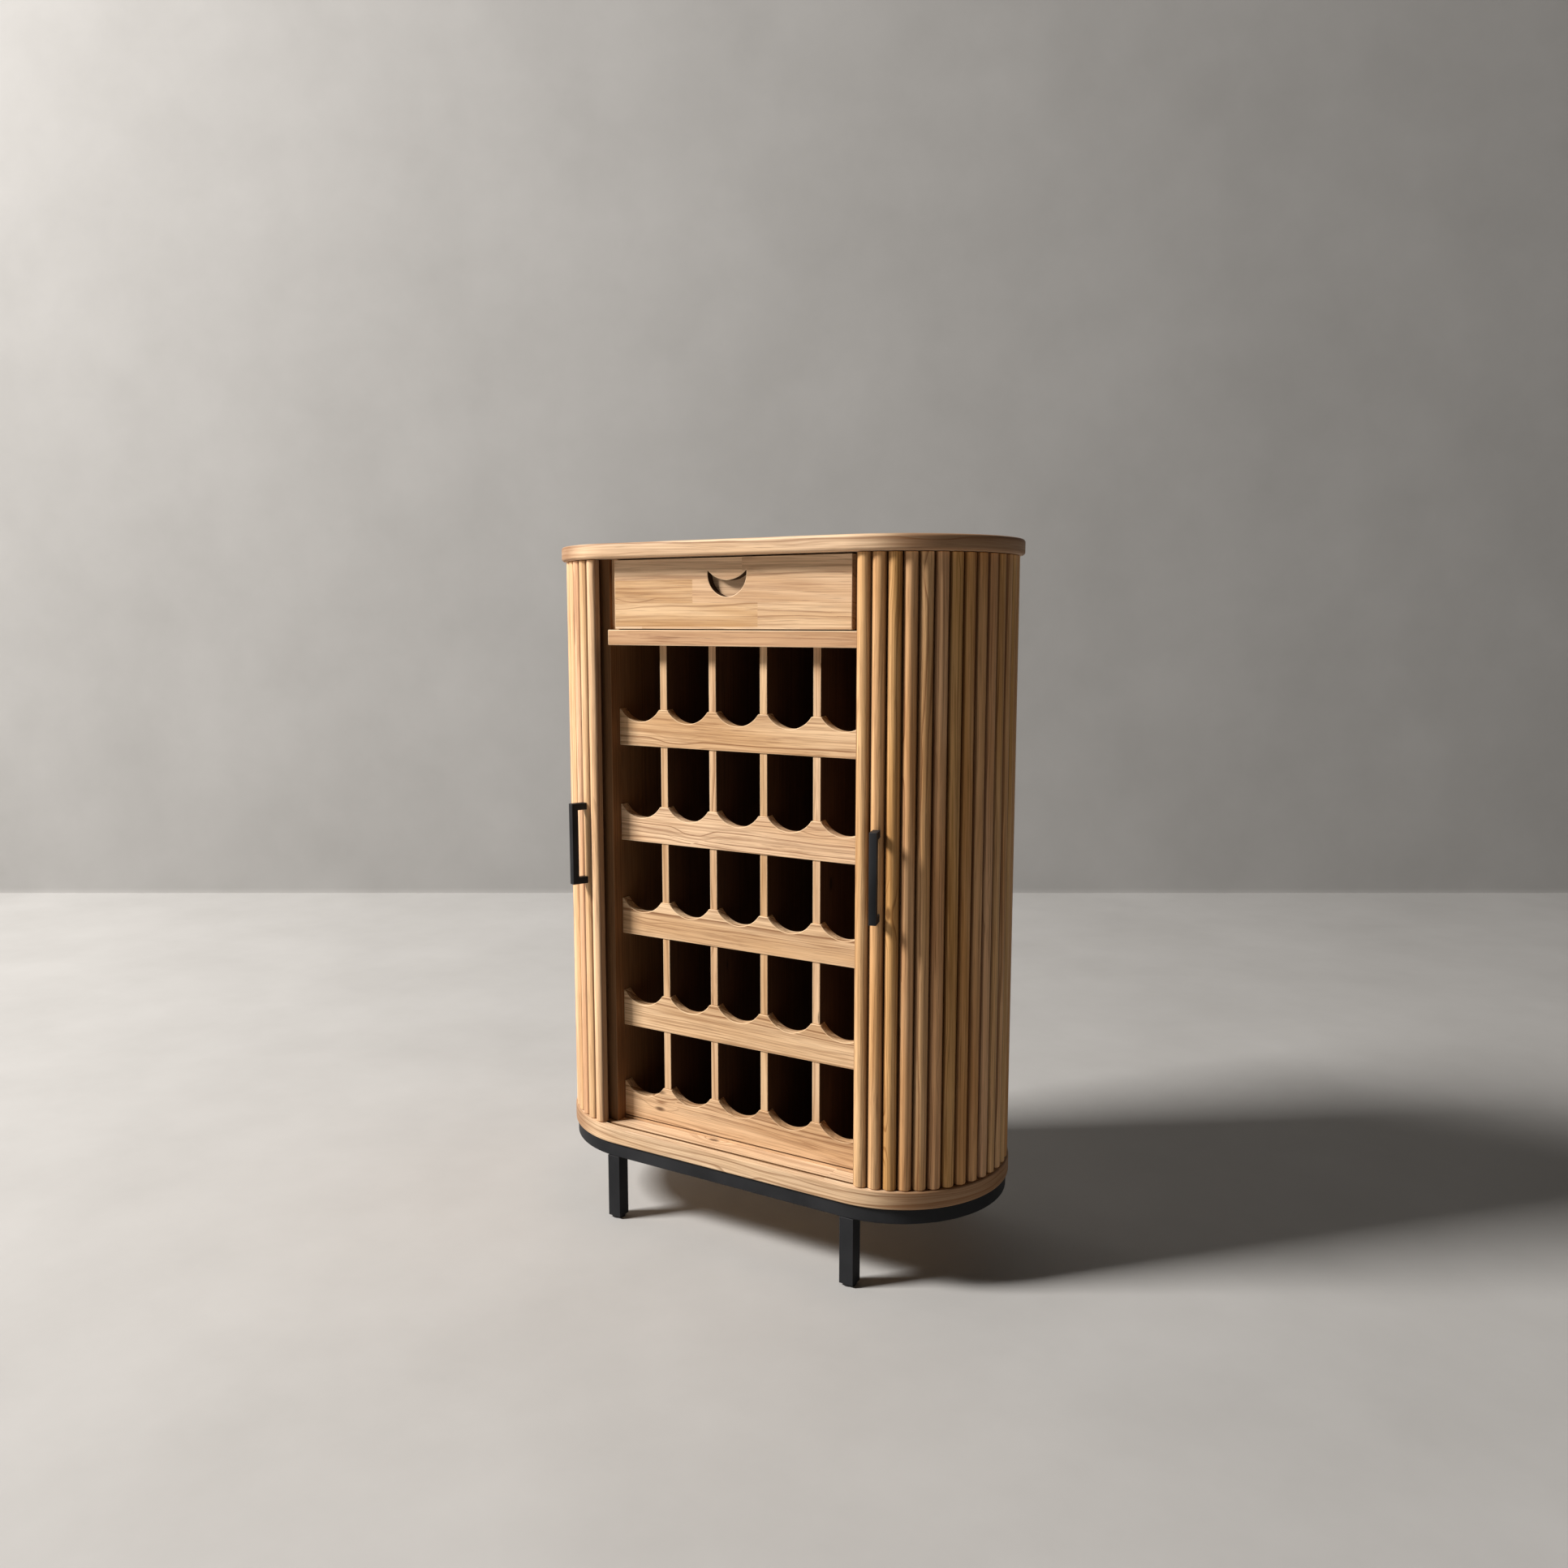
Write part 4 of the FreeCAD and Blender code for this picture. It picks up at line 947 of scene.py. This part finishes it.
# %% Spin the canvas
CANVAS_RADIUS, CANVAS_THICK = 176.4 * MM, 1 * MM
CANVAS_INSET = 0.25
SPIN_STEPS, SPIN_MERGE = 48, 0.01 * MM
for side_name, side in SIDES:
    node = f"{side_name}_door_canvas"
    first_angle = canvas_angle(side, LEADING + CANVAS_INSET)
    last_angle = canvas_angle(side, SLATS - CANVAS_INSET)
    low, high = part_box(node)
    bpy.ops.object.select_all(action="DESELECT")
    bpy.ops.mesh.primitive_plane_add(size=high.z - low.z, location=(0, 0, (low.z + high.z) / 2),
                                     rotation=(math.pi / 2, 0, 0))
    strip = bpy.context.object
    strip.name = node + "_piece"
    bpy.ops.object.transform_apply(location=True, rotation=True, scale=True)
    select_part(strip, "VERT", lambda c: c[0].x > 0)
    bpy.ops.mesh.delete(type="VERT")
    bpy.ops.object.mode_set(mode="OBJECT")
    begin = Vector((side * (END_X + CANVAS_RADIUS * math.sin(first_angle)),
                    -CANVAS_RADIUS * math.cos(first_angle), 0))
    line_x = strip.data.vertices[0].co.x
    strip.data.transform(Matrix.Translation(begin - Vector((line_x, 0, 0))))
    edit_all(strip)
    bpy.ops.mesh.spin(steps=SPIN_STEPS, angle=side * (first_angle - last_angle),
                      center=(side * END_X, 0, 0), axis=(0, 0, 1))
    bpy.ops.mesh.select_all(action="SELECT")
    bpy.ops.mesh.remove_doubles(threshold=SPIN_MERGE)
    bpy.ops.object.mode_set(mode="OBJECT")
    print(strip.name, [round(v, 3) for v in strip.dimensions], "solid", [round(v, 3) for v in high - low])
    apply_modifier(strip, "SOLIDIFY", thickness=CANVAS_THICK, offset=0)
    set_finishes(strip, canvas)
    finish_piece(strip)
    stand_for(strip, node)

# %% [markdown]
# ## Handles
# A handle is a square bar on two square posts, from mitred bar stock, so its edges are only just broken.
# The solid already has that shape: a merged copy with a narrow bevel keeps it and catches a thin line of
# light, and the bevel's greyer finish adds a painted highlight along it.

# %% Break the handles' edges
for node in ("left_handle", "right_handle"):
    softened(node, black_steel, bevel=0.7, rim=steel_edge_highlight)
print("handles done")

# %% [markdown]
# ## The bottle rack
# Each row has a front and a rear rail with a round seat for every bottle, and four uprights notched over
# them. The seats were cut with a large round cutter and the edges sanded, so the copies get a bevel along
# every curve, wide enough to show; its faces get a paler wood, a painted highlight where the broken edge
# catches the light. The dividers' broad faces and the rear rails get a nearly black wood, painted shade for
# the deep inside of the rack, so only the dividers' front edges are honey-coloured. The line scored along
# the lowest rail gets a dark wood too, painted shade in the line.

# %% Soften the rack
LINE_LOW, LINE_HIGH, LINE_END = 175.5 * MM, 179.3 * MM, -139.5 * MM
SIDEWAYS = 0.01 * MM
for row in range(1, 6):
    # The rails' bevels get the paler wood, a painted highlight along the edges.
    softened(f"front_bottle_rail_{row}", board_wood, bevel=1.2, segments=3, rim=sanded_rim)
for number in range(1, 5):
    divider = softened(f"rack_divider_{number}", upright_wood, bevel=1.0, rim=sanded_rim)
    # The dividers' broad faces: painted shade, the nearly black inside wood.
    give_finish(divider, inner_wood, lambda c: max(p.x for p in c) - min(p.x for p in c) < SIDEWAYS)
# The rear rails: painted shade, the nearly black inside wood.
softened("rear_bottle_rails", rack_shade_wood, bevel=1.2)
lowest = bpy.data.objects["front_bottle_rail_1_piece"]
# The scored line: painted shade, a dark wood in the line.
give_finish(lowest, panel_shade_wood, lambda c: all(LINE_LOW < p.z < LINE_HIGH and p.y < LINE_END for p in c))
print("rack done")

# %% [markdown]
# ## The carcass
# Side panels, curved end shells and the back are plain panels, darker than the front: the panels and shells
# a mid-brown and the back nearly black, painted shade for the inside of the cabinet. The shelf under the
# drawer shows its front edge, so it is sanded and oiled like the rails, a little deeper in colour, and its
# broken edges get the same painted highlight.

# %% Soften the carcass
for node in ("left_side_panel", "right_side_panel", "left_end_shell", "right_end_shell"):
    # Painted shade: the panels and shells get the mid-brown wood.
    softened(node, panel_shade_wood, bevel=0.8)
# The back: painted shade, the nearly black inside wood.
softened("back_panel", inner_wood, bevel=0.8)
softened("drawer_shelf", shelf_wood, bevel=1.2, segments=3, rim=sanded_rim)
softened("drawer_guides", upright_wood, bevel=0.8)
print("carcass done")

# %% [markdown]
# ## The drawer
# The drawer front carries the crescent that a hand pulls it by. Its floor is the same wood as the face, and
# its walls get the nearly black inside wood, painted shade in the recess; the face's broken edges get the
# paler wood, a painted highlight. The box behind is thinner, paler wood with square edges only just broken.

# %% Soften the drawer
RECESS_START, RECESS_FLOOR, RECESS_HALF = -169.2 * MM, -156 * MM, 38 * MM
BEHIND_FLOOR, BEFORE_FLOOR = 0.5 * MM, 0.3 * MM
drawer_front = softened("drawer_front", front_wood, bevel=1.0, segments=3, rim=sanded_rim)


def in_recess(corners):
    """Whether all corners lie inside the crescent, on its walls or its floor."""
    deepest = RECESS_FLOOR + BEHIND_FLOOR
    return all(RECESS_START < p.y < deepest and abs(p.x) < RECESS_HALF for p in corners)


def on_recess_floor(corners):
    """Whether all corners lie on the crescent's floor."""
    return in_recess(corners) and min(p.y for p in corners) > RECESS_FLOOR - BEFORE_FLOOR


# The crescent's walls: painted shade, the nearly black inside wood.
give_finish(drawer_front, rack_shade_wood, in_recess)
give_finish(drawer_front, front_wood, on_recess_floor)
for node in ("drawer_left_side", "drawer_right_side", "drawer_back", "drawer_bottom"):
    softened(node, box_wood, bevel=0.8)
print("drawer done")

# %% [markdown]
# ## Steel base
# The ring is square tube bent to the cabinet's plan, welded to four square legs. The bent tube starts as a
# round-ended block: both faces are inset by the tube's width, the middles are taken out and the two inner
# rims are bridged. Tube has soft corners, so all its long edges get a bevel of the tube's own corner size.

# %% Shape the base
TUBE, CORNER = 25 * MM, 2 * MM
low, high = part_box("ring_frame")
outer, inner = high.y, high.y - TUBE
ring = stadium("ring_frame_piece", outer, low.z, high.z)
for height in (low.z, high.z):
    select_part(ring, "FACE", lambda c: level(c, height))
    bpy.ops.mesh.inset(thickness=TUBE)
    bpy.ops.mesh.delete(type="FACE")
select_part(ring, "EDGE", lambda c: on_ring(c, inner, inner))
bpy.ops.mesh.bridge_edge_loops()
select_part(ring, "EDGE", lambda c: (level(c, low.z) or level(c, high.z))
            and (on_ring(c, inner, inner) or on_ring(c, outer, outer)))
bpy.ops.mesh.bevel(offset=CORNER, segments=4, profile=0.5, affect="EDGES")
bpy.ops.object.mode_set(mode="OBJECT")
set_finishes(ring, black_steel)
finish_piece(ring)
stand_for(ring, "ring_frame")
for end in ("front", "rear"):
    for side in ("left", "right"):
        # The legs' bevels get the greyer finish, a painted highlight along the edges.
        softened(f"{end}_{side}_leg", black_steel, bevel=1.6, segments=3, rim=steel_edge_highlight)
        softened(f"{end}_{side}_glide", black_plastic, bevel=0.8)
softened("frame_screws", zinc, bevel=0.6)
print("base done,", len(ring.data.polygons), "faces in the ring")
